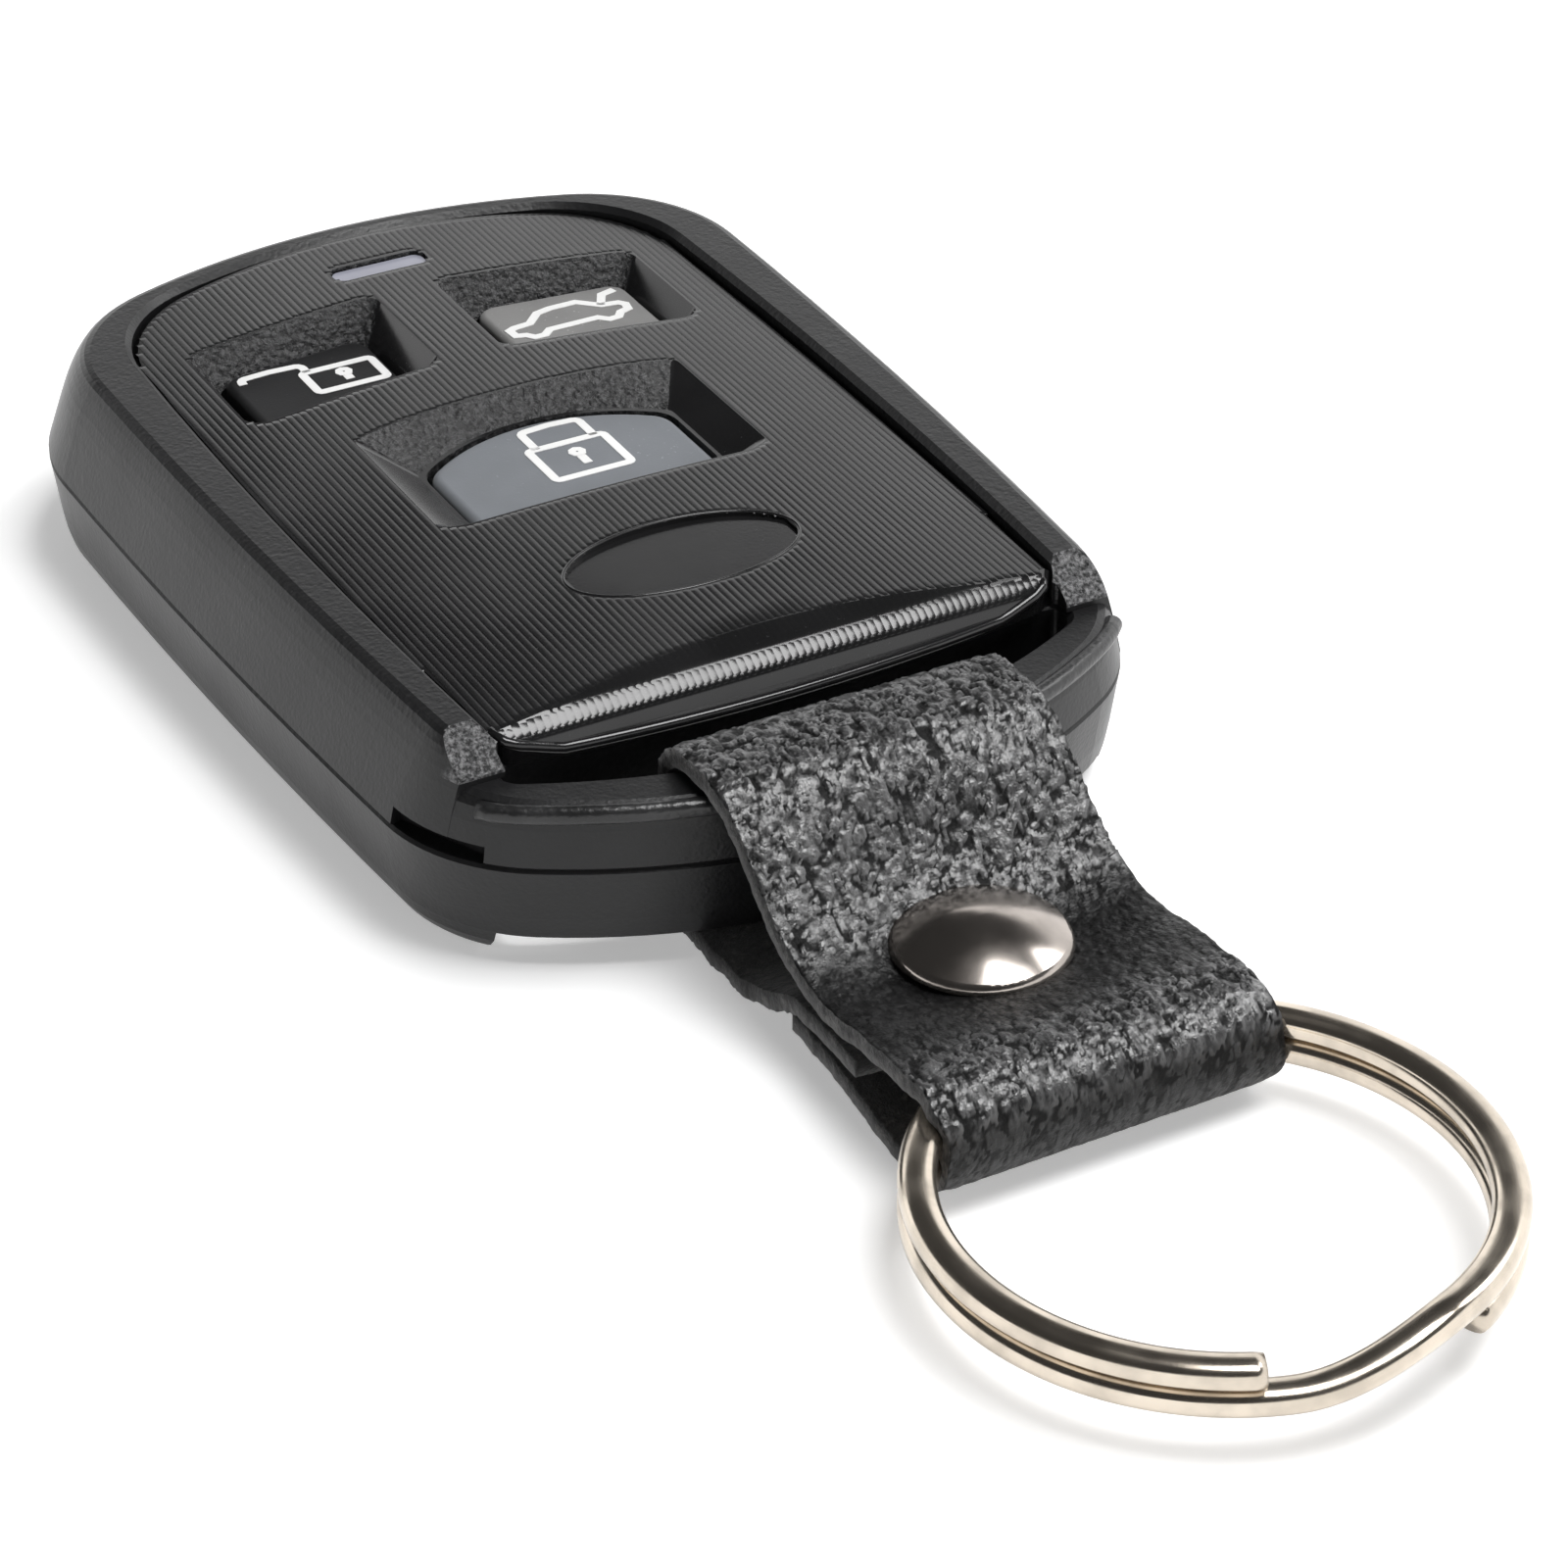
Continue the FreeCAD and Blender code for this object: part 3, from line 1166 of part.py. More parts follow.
def biarc(start, start_way, end, end_way):
    """Two arcs that leave start and reach end along the given directions."""
    across, ways = end - start, start_way + end_way
    a = 2 * start_way.dot(end_way) - 2
    b = -2 * across.dot(ways)
    c = across.dot(across)
    reach = -c / b if abs(a) < 1e-12 else (-b - math.sqrt(b * b - 4 * a * c)) / (2 * a)
    joint = (start + start_way * reach + end - end_way * reach) * 0.5
    return [arc_from(start, start_way, joint), arc_from(end, end_way * -1, joint, True)]


def arc_from(start, way, end, backwards=False):
    """The arc that leaves start along way and passes through end."""
    chord = end - start
    side = chord - way * chord.dot(way)
    radius = chord.dot(chord) / (2 * side.Length)
    centre = start + side.normalize() * radius
    middle = (start + end) * 0.5
    crown = centre + (middle - centre).normalize() * radius
    ends = (end, crown, start) if backwards else (start, crown, end)
    return Part.Arc(*ends).toShape()


def ring_path():
    """Centre line of the wire: a lower coil, a climb of one coil's pitch, and an upper coil."""
    radius, pitch = WIRE_LINE.value, S.coil_pitch.value
    first, last = S.jog_start.value, S.jog_end.value
    gap = S.jog_gap.value

    def place(angle, level):
        turn = math.radians(angle)
        at = FreeCAD.Vector(radius * math.cos(turn), radius * math.sin(turn), level)
        return at, FreeCAD.Vector(-math.sin(turn), math.cos(turn), 0)

    def coil(begin, end, level):
        steps = 4
        edges = []
        for i in range(steps):
            angles = [begin + (end - begin) * (i + share) / steps for share in (0, 0.5, 1)]
            edges.append(Part.Arc(*[place(a, level)[0] for a in angles]).toShape())
        return edges

    low, high = -pitch / 2, pitch / 2
    edges = coil(last + gap - 360, first, low)
    edges += biarc(*place(first, low), *place(last, high))
    edges += coil(last, first - gap + 360, high)
    return edges


def least_gap(edges, wire):
    """Least clear distance between stretches of the wire that lie more than a few wires apart."""
    points, run = [], 0.0
    for edge in edges:
        for point in edge.discretize(30)[:-1]:
            if points:
                run += point.distanceToPoint(points[-1][0])
            points.append((point, run))
    clear = min(
        p.distanceToPoint(q) for p, at in points for q, other in points if other - at > wire * 5
    )
    return clear - wire


def make_ring():
    """Split ring: one unbroken round wire of two coils, leaning from the fold down to the table."""
    edges = ring_path()
    path = Part.Wire(edges)
    start, way = edges[0].valueAt(edges[0].FirstParameter), edges[0].tangentAt(edges[0].FirstParameter)
    section = Part.Wire(Part.Circle(start, way, S.wire_radius.value).toShape())
    wire = path.makePipeShell([section], True, False)
    expected = math.pi * S.wire_radius.value ** 2 * path.Length
    gap = least_gap(edges, S.wire_radius.value * 2)
    print(f"split_ring: volume {wire.Volume:.2f}, section times length {expected:.2f},"
          f" least gap {gap:.3f} mm")
    ring = doc.addObject("Part::Feature", "SplitRing")
    ring.Shape = wire
    place = FreeCAD.Placement(vector(S.strap_shift, RING_Y, RING_Z), FreeCAD.Rotation())
    lean = FreeCAD.Rotation(FreeCAD.Vector(1, 0, 0), S.ring_tilt.value)
    pivot = vector(S.strap_shift, SWING_Y, RING_Z)
    ring.Placement = FreeCAD.Placement(FreeCAD.Vector(), lean, pivot).multiply(place)
    keep(ring, "split_ring")


def check_document():
    """Stop if any object failed or any piece is empty or broken."""
    doc.recompute()
    for obj in doc.Objects:
        if "Invalid" in obj.State or "Error" in obj.State:
            raise ValueError(f"{obj.Label} failed: {obj.State}")
    for piece in pieces:
        if piece.Shape.isNull() or not piece.Shape.isValid():
            raise ValueError(f"{piece.Label} has no valid shape")


def export():
    os.makedirs("parts", exist_ok=True)
    for piece in pieces:
        piece.Shape.exportStep(os.path.join("parts", piece.Label + ".step"))
        bounds = piece.Shape.BoundBox
        print(f"{piece.Label}: {len(piece.Shape.Solids)} solid(s), {piece.Shape.Volume:.1f} mm3,"
              f" x {bounds.XMin:.2f}..{bounds.XMax:.2f} y {bounds.YMin:.2f}..{bounds.YMax:.2f}"
              f" z {bounds.ZMin:.2f}..{bounds.ZMax:.2f}")


def main():
    make_sheet()
    make_upper_shell()
    make_lower_shell()
    make_face_panel()
    for name in WELLS:
        make_key(name)
    make_keypad_mat()
    make_light_pipe()
    make_board()
    for name in WELLS:
        make_switch(name)
    make_small_parts()
    make_cell()
    make_contacts()
    make_strap_loop()
    make_strap_end()
    make_rivet()
    make_ring()
    check_document()
    export()


main()
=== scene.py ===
"""Looks of a car remote on a leather strap with a split ring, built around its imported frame.

Sizes in the classes are millimetres in the frame's own axes, and every mesh is written in metres.
"""

import logging
import math
from collections.abc import Callable, Sequence
from dataclasses import dataclass, field
from enum import Enum
from typing import ClassVar

import bpy
from mathutils import Matrix, Vector, noise
from mathutils.bvhtree import BVHTree


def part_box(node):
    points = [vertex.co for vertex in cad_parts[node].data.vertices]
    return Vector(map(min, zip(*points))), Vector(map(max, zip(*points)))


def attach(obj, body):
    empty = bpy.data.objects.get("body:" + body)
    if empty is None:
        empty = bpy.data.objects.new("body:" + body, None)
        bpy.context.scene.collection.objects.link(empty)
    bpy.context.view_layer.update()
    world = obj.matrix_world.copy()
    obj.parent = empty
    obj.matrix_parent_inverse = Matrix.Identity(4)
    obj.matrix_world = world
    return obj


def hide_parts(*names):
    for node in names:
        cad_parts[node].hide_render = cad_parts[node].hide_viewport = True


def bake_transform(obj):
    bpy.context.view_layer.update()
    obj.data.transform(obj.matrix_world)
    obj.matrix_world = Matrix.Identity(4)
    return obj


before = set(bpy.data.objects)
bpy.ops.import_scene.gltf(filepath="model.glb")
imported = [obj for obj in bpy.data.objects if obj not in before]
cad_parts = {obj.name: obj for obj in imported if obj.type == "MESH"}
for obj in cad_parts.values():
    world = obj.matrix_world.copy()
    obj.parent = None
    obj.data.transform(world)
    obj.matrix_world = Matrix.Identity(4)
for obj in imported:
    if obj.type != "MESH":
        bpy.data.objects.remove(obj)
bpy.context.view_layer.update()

MM = 0.001
DOWN = Vector((0.0, 0.0, -1.0))
RAY_CLEARANCE = 1.0
EDGE_REACH = 6.0
EDGE_PRECISION = 0.002
EDGE_INSIDE = 0.05
LOG = logging.getLogger("remote")

Colour = tuple[float, float, float]
Place = tuple[float, float, float]
Flat = tuple[float, float]
Face = tuple[int, ...]
Piece = bpy.types.Object
Material = bpy.types.Material
Socket = bpy.types.NodeSocket
Feed = float | tuple | Socket


class Body(Enum):
    """The moving bodies of the frame that pieces ride on."""

    CASE = "case"
    LOCK = "lock_button"
    UNLOCK = "unlock_button"
    TRUNK = "trunk_button"
    STRAP = "strap"
    RING = "ring"


class Side(Enum):
    """The two sides of the strap's leather."""

    GRAIN = 0
    SUEDE = 1


class NoisePlane(Enum):
    """Planes in which the leather's noises are read, so that they differ."""

    DEPTH = 2.0
    SWAY = 4.0
    FINE_FRAY = 5.0
    TWIST = 7.0
    FRAY = 9.0
    SWELL = 11.0

    def vector(self) -> Vector:
        """Return the plane's step away from the flat strip."""
        return Vector((0.0, 0.0, self.value))


def smoothstep(low: float, high: float, value: float) -> float:
    """Rise smoothly from 0 where the value is low to 1 where it is high."""
    share = min(1.0, max(0.0, (value - low) / (high - low)))
    return share * share * (3.0 - 2.0 * share)


def mesh_piece(
    name: str,
    points: Sequence[Vector],
    faces: Sequence[Face],
    finishes: Sequence[Material],
    finish_of_face: Sequence[int] | None = None,
    smooth: bool = True,
) -> Piece:
    """Make a mesh object.

    Args:
        name: the piece's name.
        points: its vertices in millimetres.
        faces: vertex numbers of each face.
        finishes: its materials.
        finish_of_face: the material number of each face, all 0 if left out.
        smooth: whether its faces are shaded as one smooth surface.

    Returns:
        The object, linked to the scene.
    """
    mesh = bpy.data.meshes.new(name)
    mesh.from_pydata([Vector(p) * MM for p in points], [], faces)
    for finish in finishes:
        mesh.materials.append(finish)
    mesh.polygons.foreach_set("use_smooth", [smooth] * len(faces))
    if finish_of_face is not None:
        mesh.polygons.foreach_set("material_index", finish_of_face)
    mesh.update()
    piece = bpy.data.objects.new(name, mesh)
    bpy.context.scene.collection.objects.link(piece)
    LOG.info("made %s", name)
    return piece


def finish_node(node: str, finish: Material) -> None:
    """Give a CAD node one material all over.

    Args:
        node: the node's name.
        finish: the material.
    """
    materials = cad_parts[node].data.materials
    materials.clear()
    materials.append(finish)
    LOG.info("finished %s", node)


def skin_of(node: str) -> BVHTree:
    """Return a CAD node's surface, for rays."""
    return BVHTree.FromObject(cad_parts[node], bpy.context.evaluated_depsgraph_get())


def look_down(tree: BVHTree, x: float, y: float, top: float) -> tuple[Vector, Vector] | None:
    """Return the point in millimetres and the normal that a surface shows from above, or None beside it."""
    point, normal, _, _ = tree.ray_cast(Vector((x, y, top + RAY_CLEARANCE)) * MM, DOWN)
    return (point / MM, normal) if point else None


class Graph:
    """A node tree being wired, with short calls for the nodes that the finishes share."""

    def __init__(self, tree: bpy.types.NodeTree) -> None:
        """Start on a tree."""
        self.tree = tree

    @classmethod
    def blank(cls, owner: Material | bpy.types.World) -> "Graph":
        """Empty the node tree of a material or world.

        Args:
            owner: what the tree belongs to.

        Returns:
            The graph of its tree.
        """
        owner.use_nodes = True
        owner.node_tree.nodes.clear()
        return cls(owner.node_tree)

    def add(
        self, kind: str, inputs: dict[str | int, Feed] | None = None, **settings: object,
    ) -> bpy.types.Node:
        """Add a node.

        Args:
            kind: Blender's node type.
            inputs: values or sockets for its inputs, by name or number.
            **settings: the node's own properties.

        Returns:
            The new node.
        """
        node = self.tree.nodes.new(kind)
        for name, value in settings.items():
            setattr(node, name, value)
        for key, value in (inputs or {}).items():
            self.feed(node.inputs[key], value)
        return node

    def feed(self, socket: Socket, value: Feed) -> None:
        """Join a socket to another one, or set its value.

        Args:
            socket: the socket that is fed.
            value: a plain value, or the socket that it comes from.
        """
        if isinstance(value, Socket):
            self.tree.links.new(value, socket)
        else:
            socket.default_value = value

    def math(self, operation: str, one: Feed, two: Feed = 0.0) -> Socket:
        """Combine two values by one of Blender's math operations."""
        return self.add("ShaderNodeMath", {0: one, 1: two}, operation=operation).outputs[0]

    def times(self, product: Feed, *factors: Feed) -> Feed:
        """Multiply values.

        Args:
            product: the first of them.
            *factors: the others.

        Returns:
            The product's socket.
        """
        for factor in factors:
            product = self.math("MULTIPLY", product, factor)
        return product

    def rise(self, value: Feed, low: float, high: float, start: Feed = 0.0, end: Feed = 1.0) -> Socket:
        """Map a value to start at low and to end at high, with a smooth step between them."""
        inputs = {"Value": value, "From Min": low, "From Max": high, "To Min": start, "To Max": end}
        return self.add("ShaderNodeMapRange", inputs, interpolation_type="SMOOTHSTEP").outputs[0]

    def blend(self, share: Feed, one: Feed, two: Feed) -> Socket:
        """Mix two colours: the first at a share of 0, the second at 1."""
        return self.add("ShaderNodeMix", {0: share, 6: one, 7: two}, data_type="RGBA").outputs[2]

    def speckle(self, place: Feed, scale: Feed, detail: float, roughness: float = 0.5) -> Socket:
        """Add cloudy noise of some octaves, the finer ones weighed by the roughness."""
        inputs = {"Vector": place, "Scale": scale, "Detail": detail, "Roughness": roughness}
        return self.add("ShaderNodeTexNoise", inputs).outputs["Fac"]

    def cells(self, place: Feed, scale: Feed, feature: str = "F1") -> Socket:
        """Add a cell pattern and give the distance that the feature names."""
        inputs = {"Vector": place, "Scale": scale}
        return self.add("ShaderNodeTexVoronoi", inputs, feature=feature).outputs["Distance"]

    def coords(self, kind: str = "Object") -> Socket:
        """Return one kind of the surface's own coordinates."""
        return self.add("ShaderNodeTexCoord").outputs[kind]

    def stretch(self, place: Socket, scale: Place) -> Socket:
        """Scale coordinates by a number for each axis."""
        return self.add("ShaderNodeMapping", {"Vector": place, "Scale": scale}).outputs[0]


def opaque(colour: Colour, gain: float = 1.0, film: float = 0.0) -> tuple[float, ...]:
    """Return a colour with full alpha, dimmed or brightened by a gain and a pale film."""
    return (*(min(1.0, c * gain + film) for c in colour), 1.0)


def node_group(
    name: str, inputs: dict[str, float], outputs: Sequence[str], wire: Callable,
) -> bpy.types.NodeTree:
    """Return a shader group, built the first time it is asked for.

    Args:
        name: the group's name.
        inputs: its float inputs with their defaults.
        outputs: its float outputs.
        wire: function of (graph, input sockets) that returns one socket per output.

    Returns:
        The node group.
    """
    known = bpy.data.node_groups.get(name)
    if known:
        return known
    tree = bpy.data.node_groups.new(name, "ShaderNodeTree")
    for title, value in inputs.items():
        socket = tree.interface.new_socket(name=title, in_out="INPUT", socket_type="NodeSocketFloat")
        socket.default_value = value
    for title in outputs:
        tree.interface.new_socket(name=title, in_out="OUTPUT", socket_type="NodeSocketFloat")
    graph = Graph(tree)
    entry = graph.add("NodeGroupInput")
    leave = graph.add("NodeGroupOutput")
    for title, socket in zip(outputs, wire(graph, entry.outputs)):
        graph.feed(leave.inputs[title], socket)
    return tree


def moulded_grain() -> bpy.types.NodeTree:
    """Return the fine pebbled texture of a mould: its height, and a soft mottle of tone."""

    def wire(graph: Graph, given: bpy.types.NodeInputs) -> list[Socket]:
        """Wire pebbles of the given size and cloudy tone."""
        place = graph.coords()
        scale = graph.math("DIVIDE", 1.0 / MM, given["Grain mm"])
        pebbles = graph.cells(place, scale, "SMOOTH_F1")
        coarser, sunk = 0.6, -0.6
        dust = graph.speckle(place, graph.times(scale, coarser), detail=3.0, roughness=0.6)
        height = graph.math("ADD", graph.times(pebbles, sunk), dust)
        mottle = graph.speckle(place, scale=260.0, detail=3.0)
        return [height, graph.rise(mottle, low=0.3, high=0.7)]

    return node_group("moulded_grain", {"Grain mm": 0.2}, ("Height", "Mottle"), wire)


def spark_texture() -> bpy.types.NodeTree:
    """Return the coarse etched texture of sloped faces: its height, and the facets that carry a painted
    glint.
    """

    def wire(graph: Graph, given: bpy.types.NodeInputs) -> list[Socket]:
        """Wire irregular bumps of the given size."""
        place = graph.coords()
        scale = graph.math("DIVIDE", 1.0 / MM, given["Bump mm"])
        lumps = graph.cells(place, scale)
        finer, raised = 1.3, 1.4
        grit = graph.speckle(place, graph.times(scale, finer), detail=4.0, roughness=0.65)
        height = graph.math("SUBTRACT", graph.times(grit, raised), lumps)
        # The second output marks the facets that get a painted glint: a lighter colour standing in for light
        # sparkling on the grit.
        return [height, graph.rise(grit, low=0.36, high=0.72)]

    return node_group("spark_texture", {"Bump mm": 0.4}, ("Height", "Painted glints"), wire)


def handling_wear() -> bpy.types.NodeTree:
    """Return patches where hands have polished a surface, and a thin film of dust."""

    def wire(graph: Graph, given: bpy.types.NodeInputs) -> list[Socket]:
        """Wire broad patches and fine dust."""
        place = graph.coords()
        scale = graph.math("DIVIDE", 1.0 / MM, given["Patch mm"])
        patches = graph.speckle(place, scale, detail=4.0, roughness=0.55)
        specks = graph.speckle(place, scale=5200.0, detail=2.0)
        dusty = graph.rise(patches, low=0.45, high=0.65)
        dust = graph.times(graph.rise(specks, low=0.66, high=0.8), dusty)
        return [graph.rise(patches, low=0.3, high=0.7), dust]

    return node_group("handling_wear", {"Patch mm": 9.0}, ("Polish", "Dust"), wire)


def drawn_lines() -> bpy.types.NodeTree:
    """Return the faint lines and clouding that drawing and tumbling leave on metal."""

    def wire(graph: Graph, given: bpy.types.NodeInputs) -> list[Socket]:
        """Wire lines along the first surface coordinate and a cloudy haze."""
        drawn = graph.stretch(graph.coords("UV"), scale=(0.35, 14.0, 1.0))
        lines = graph.speckle(drawn, given["Lines"], detail=3.0, roughness=0.6)
        haze = graph.speckle(graph.coords(), scale=420.0, detail=4.0)
        return [lines, graph.rise(haze, low=0.35, high=0.7)]

    return node_group("drawn_lines", {"Lines": 1.0}, ("Lines", "Haze"), wire)


class Surface:
    """A material being made: a Principled shader and the graph that feeds it."""

    def __init__(self, name: str) -> None:
        """Start an empty material of that name."""
        self.material = bpy.data.materials.new(name)
        self.graph = Graph.blank(self.material)
        self.shader = self.graph.add("ShaderNodeBsdfPrincipled")
        leave = self.graph.add("ShaderNodeOutputMaterial")
        self.graph.feed(leave.inputs["Surface"], self.shader.outputs[0])

    def set(self, **values: Feed) -> None:
        """Set shader inputs, with underscores for the spaces in their names."""
        for name, value in values.items():
            self.graph.feed(self.shader.inputs[name.replace("_", " ")], value)

    def effect(self, tree: bpy.types.NodeTree, **values: Feed) -> bpy.types.NodeOutputs:
        """Place a shared effect.

        Args:
            tree: the node group.
            **values: its inputs, with underscores for spaces.

        Returns:
            The group's outputs.
        """
        node = self.graph.add("ShaderNodeGroup", node_tree=tree)
        for name, value in values.items():
            self.graph.feed(node.inputs[name.replace("_", " ")], value)
        return node.outputs

    def fed(self, name: str) -> Socket:
        """Return the socket that feeds one of the shader's inputs."""
        return self.shader.inputs[name].links[0].from_socket

    def bump(self, height: Feed, depth: float, under: Socket | None = None) -> Socket:
        """Add relief.

        Args:
            height: the relief's height, about 0 to 1.
            depth: what a height of 1 stands for, in millimetres.
            under: the normal that it lies on.

        Returns:
            The new normal's socket.
        """
        inputs: dict[str, Feed] = {"Height": height, "Distance": depth * MM, "Strength": 1.0}
        if under is not None:
            inputs["Normal"] = under
        return self.graph.add("ShaderNodeBump", inputs).outputs[0]

    def etch(self, mask: Socket, size: float, depth: float, facets: Colour) -> None:
        """Lay the coarse etched texture over the relief, and painted glints over the colour that the shader
        has.

        Args:
            mask: where it lies, from 0 to 1.
            size: its bumps' size in millimetres.
            depth: its depth in millimetres.
            facets: the lighter colour of its bright facets, a painted glint.
        """
        spark = self.effect(spark_texture(), Bump_mm=size)
        relief = self.graph.times(spark["Height"], mask)
        self.set(Normal=self.bump(relief, depth, self.fed("Normal")))
        # Painted glints: the bright facets are blended towards a lighter colour, standing in for the sparkle
        # of light on them.
        bright = self.graph.times(spark["Painted glints"], mask)
        self.set(Base_Color=self.graph.blend(bright, self.fed("Base Color"), opaque(facets)))

    def axes(self, socket: Socket) -> bpy.types.NodeOutputs:
        """Split a vector into X, Y and Z."""
        return self.graph.add("ShaderNodeSeparateXYZ", {0: socket}).outputs

    def place(self) -> bpy.types.NodeOutputs:
        """Return the surface's X, Y and Z in the frame, in metres."""
        return self.axes(self.graph.coords())

    def facing(self) -> bpy.types.NodeOutputs:
        """Return X, Y and Z of the direction that the surface faces."""
        return self.axes(self.graph.add("ShaderNodeNewGeometry").outputs["Normal"])


@dataclass(frozen=True)
class MouldedPlastic:
    """Injection-moulded plastic with a fine grain, a mottle of tone and handled patches."""

    name: str
    colour: Colour
    roughness: float = 0.5
    grain: float = 0.2
    depth: float = 0.02
    tone: float = 0.25
    polish: ClassVar[float] = 0.08
    dust_gain: ClassVar[float] = 2.2
    dust_film: ClassVar[float] = 0.02

    def surface(self) -> Surface:
        """Make the material's graph.

        Returns:
            The surface, for a finish that adds to it.
        """
        made = Surface(self.name)
        graph = made.graph
        grain = made.effect(moulded_grain(), Grain_mm=self.grain)
        wear = made.effect(handling_wear())
        dark = opaque(self.colour, 1.0 - self.tone)
        colour = graph.blend(grain["Mottle"], dark, opaque(self.colour))
        dusty = opaque(self.colour, self.dust_gain, self.dust_film)
        made.set(Base_Color=graph.blend(wear["Dust"], colour, dusty))
        polished = graph.times(wear["Polish"], self.polish)
        made.set(Roughness=graph.math("SUBTRACT", self.roughness, polished))
        made.set(Normal=made.bump(grain["Height"], self.depth))
        return made

    def material(self) -> Material:
        """Return the finished material."""
        return self.surface().material


@dataclass(frozen=True)
class ShellPlastic(MouldedPlastic):
    """The case's plastic, with coarse etched ramps at the front ends of its rails, whose facets carry a
    painted glint.
    """

    ramp_y: float = -19.0
    ramp_x: float = 14.1
    ramp_z: float = 8.75
    ramp_slope: Flat = (-0.28, -0.4)
    bump_size: float = 0.3
    bump_depth: float = 0.14
    # etched: the lighter colour painted on the ramps' bright facets, a painted glint rather than the
    # plastic's own colour.
    etched: Colour = (0.26, 0.26, 0.265)
    gloss: float = 0.38

    def material(self) -> Material:
        """Make the plastic with its ramps.

        Returns:
            The material.
        """
        made = self.surface()
        made.set(Specular_IOR_Level=self.gloss)
        graph = made.graph
        x, y, z = made.place()[:3]
        across = graph.math("GREATER_THAN", graph.math("ABSOLUTE", x), self.ramp_x * MM)
        along = graph.math("LESS_THAN", y, self.ramp_y * MM)
        above = graph.math("GREATER_THAN", z, self.ramp_z * MM)
        facing = graph.rise(made.facing()[1], *self.ramp_slope)
        ramp = graph.times(across, along, above, facing)
        # The ramps' facets are painted lighter: painted glints where light sparkles on the etched grit.
        made.etch(ramp, self.bump_size, self.bump_depth, self.etched)
        return made.material


@dataclass(frozen=True)
class PanelPlastic(MouldedPlastic):
    """The face panel's plastic, with etched far walls in the key wells, whose facets carry a painted glint.
    """

    wells_y: float = -6.0
    wall_slope: Flat = (-0.15, -0.3)
    bump_size: float = 0.34
    bump_depth: float = 0.12
    # etched: the lighter colour painted on the well walls' bright facets, a painted glint rather than the
    # plastic's own colour.
    etched: Colour = (0.06, 0.06, 0.062)

    def material(self) -> Material:
        """Make the plastic with its well walls.

        Returns:
            The material.
        """
        made = self.surface()
        graph = made.graph
        wells = graph.math("GREATER_THAN", made.place()[1], self.wells_y * MM)
        far_wall = graph.times(wells, graph.rise(made.facing()[1], *self.wall_slope))
        # The far walls' facets are painted lighter: painted glints where light sparkles on the etched grit.
        made.etch(far_wall, self.bump_size, self.bump_depth, self.etched)
        return made.material


@dataclass(frozen=True)
class Silicone(MouldedPlastic):
    """Smooth rubber with a soft sheen."""

    sheen: float = 0.15
    gloss: float = 0.35

    def material(self) -> Material:
        """Make the rubber.

        Returns:
            The material.
        """
        made = self.surface()
        made.set(Sheen_Weight=self.sheen, Specular_IOR_Level=self.gloss)
        return made.material


@dataclass(frozen=True)
class PrintedInk(MouldedPlastic):
    """Opaque ink, slightly uneven where the pad printed it."""


@dataclass(frozen=True)
class ClearWindow(MouldedPlastic):
    """A milky clear window."""

    transmission: float = 0.35
    refraction: float = 1.49

    def material(self) -> Material:
        """Make the window's plastic.

        Returns:
            The material.
        """
        made = self.surface()
        made.set(Transmission_Weight=self.transmission, IOR=self.refraction)
        return made.material


@dataclass(frozen=True)
class PolishedMetal:
    """Plated or bright metal with faint drawn lines and a haze."""

    name: str
    colour: Colour
    roughness: float = 0.12
    haze: float = 0.1
    depth: float = 0.002
    tarnish: float = 0.25

    def material(self) -> Material:
        """Make the metal.

        Returns:
            The material.
        """
        made = Surface(self.name)
        graph = made.graph
        marks = made.effect(drawn_lines())
        dull = opaque(self.colour, 1.0 - self.tarnish)
        made.set(Metallic=1.0, Base_Color=graph.blend(marks["Haze"], opaque(self.colour), dull))
        cloud = graph.times(marks["Haze"], self.haze)
        lines = graph.times(marks["Lines"], self.haze)
        made.set(Roughness=graph.math("ADD", self.roughness, graph.math("ADD", cloud, lines)))
        made.set(Normal=made.bump(marks["Lines"], self.depth))
        return made.material


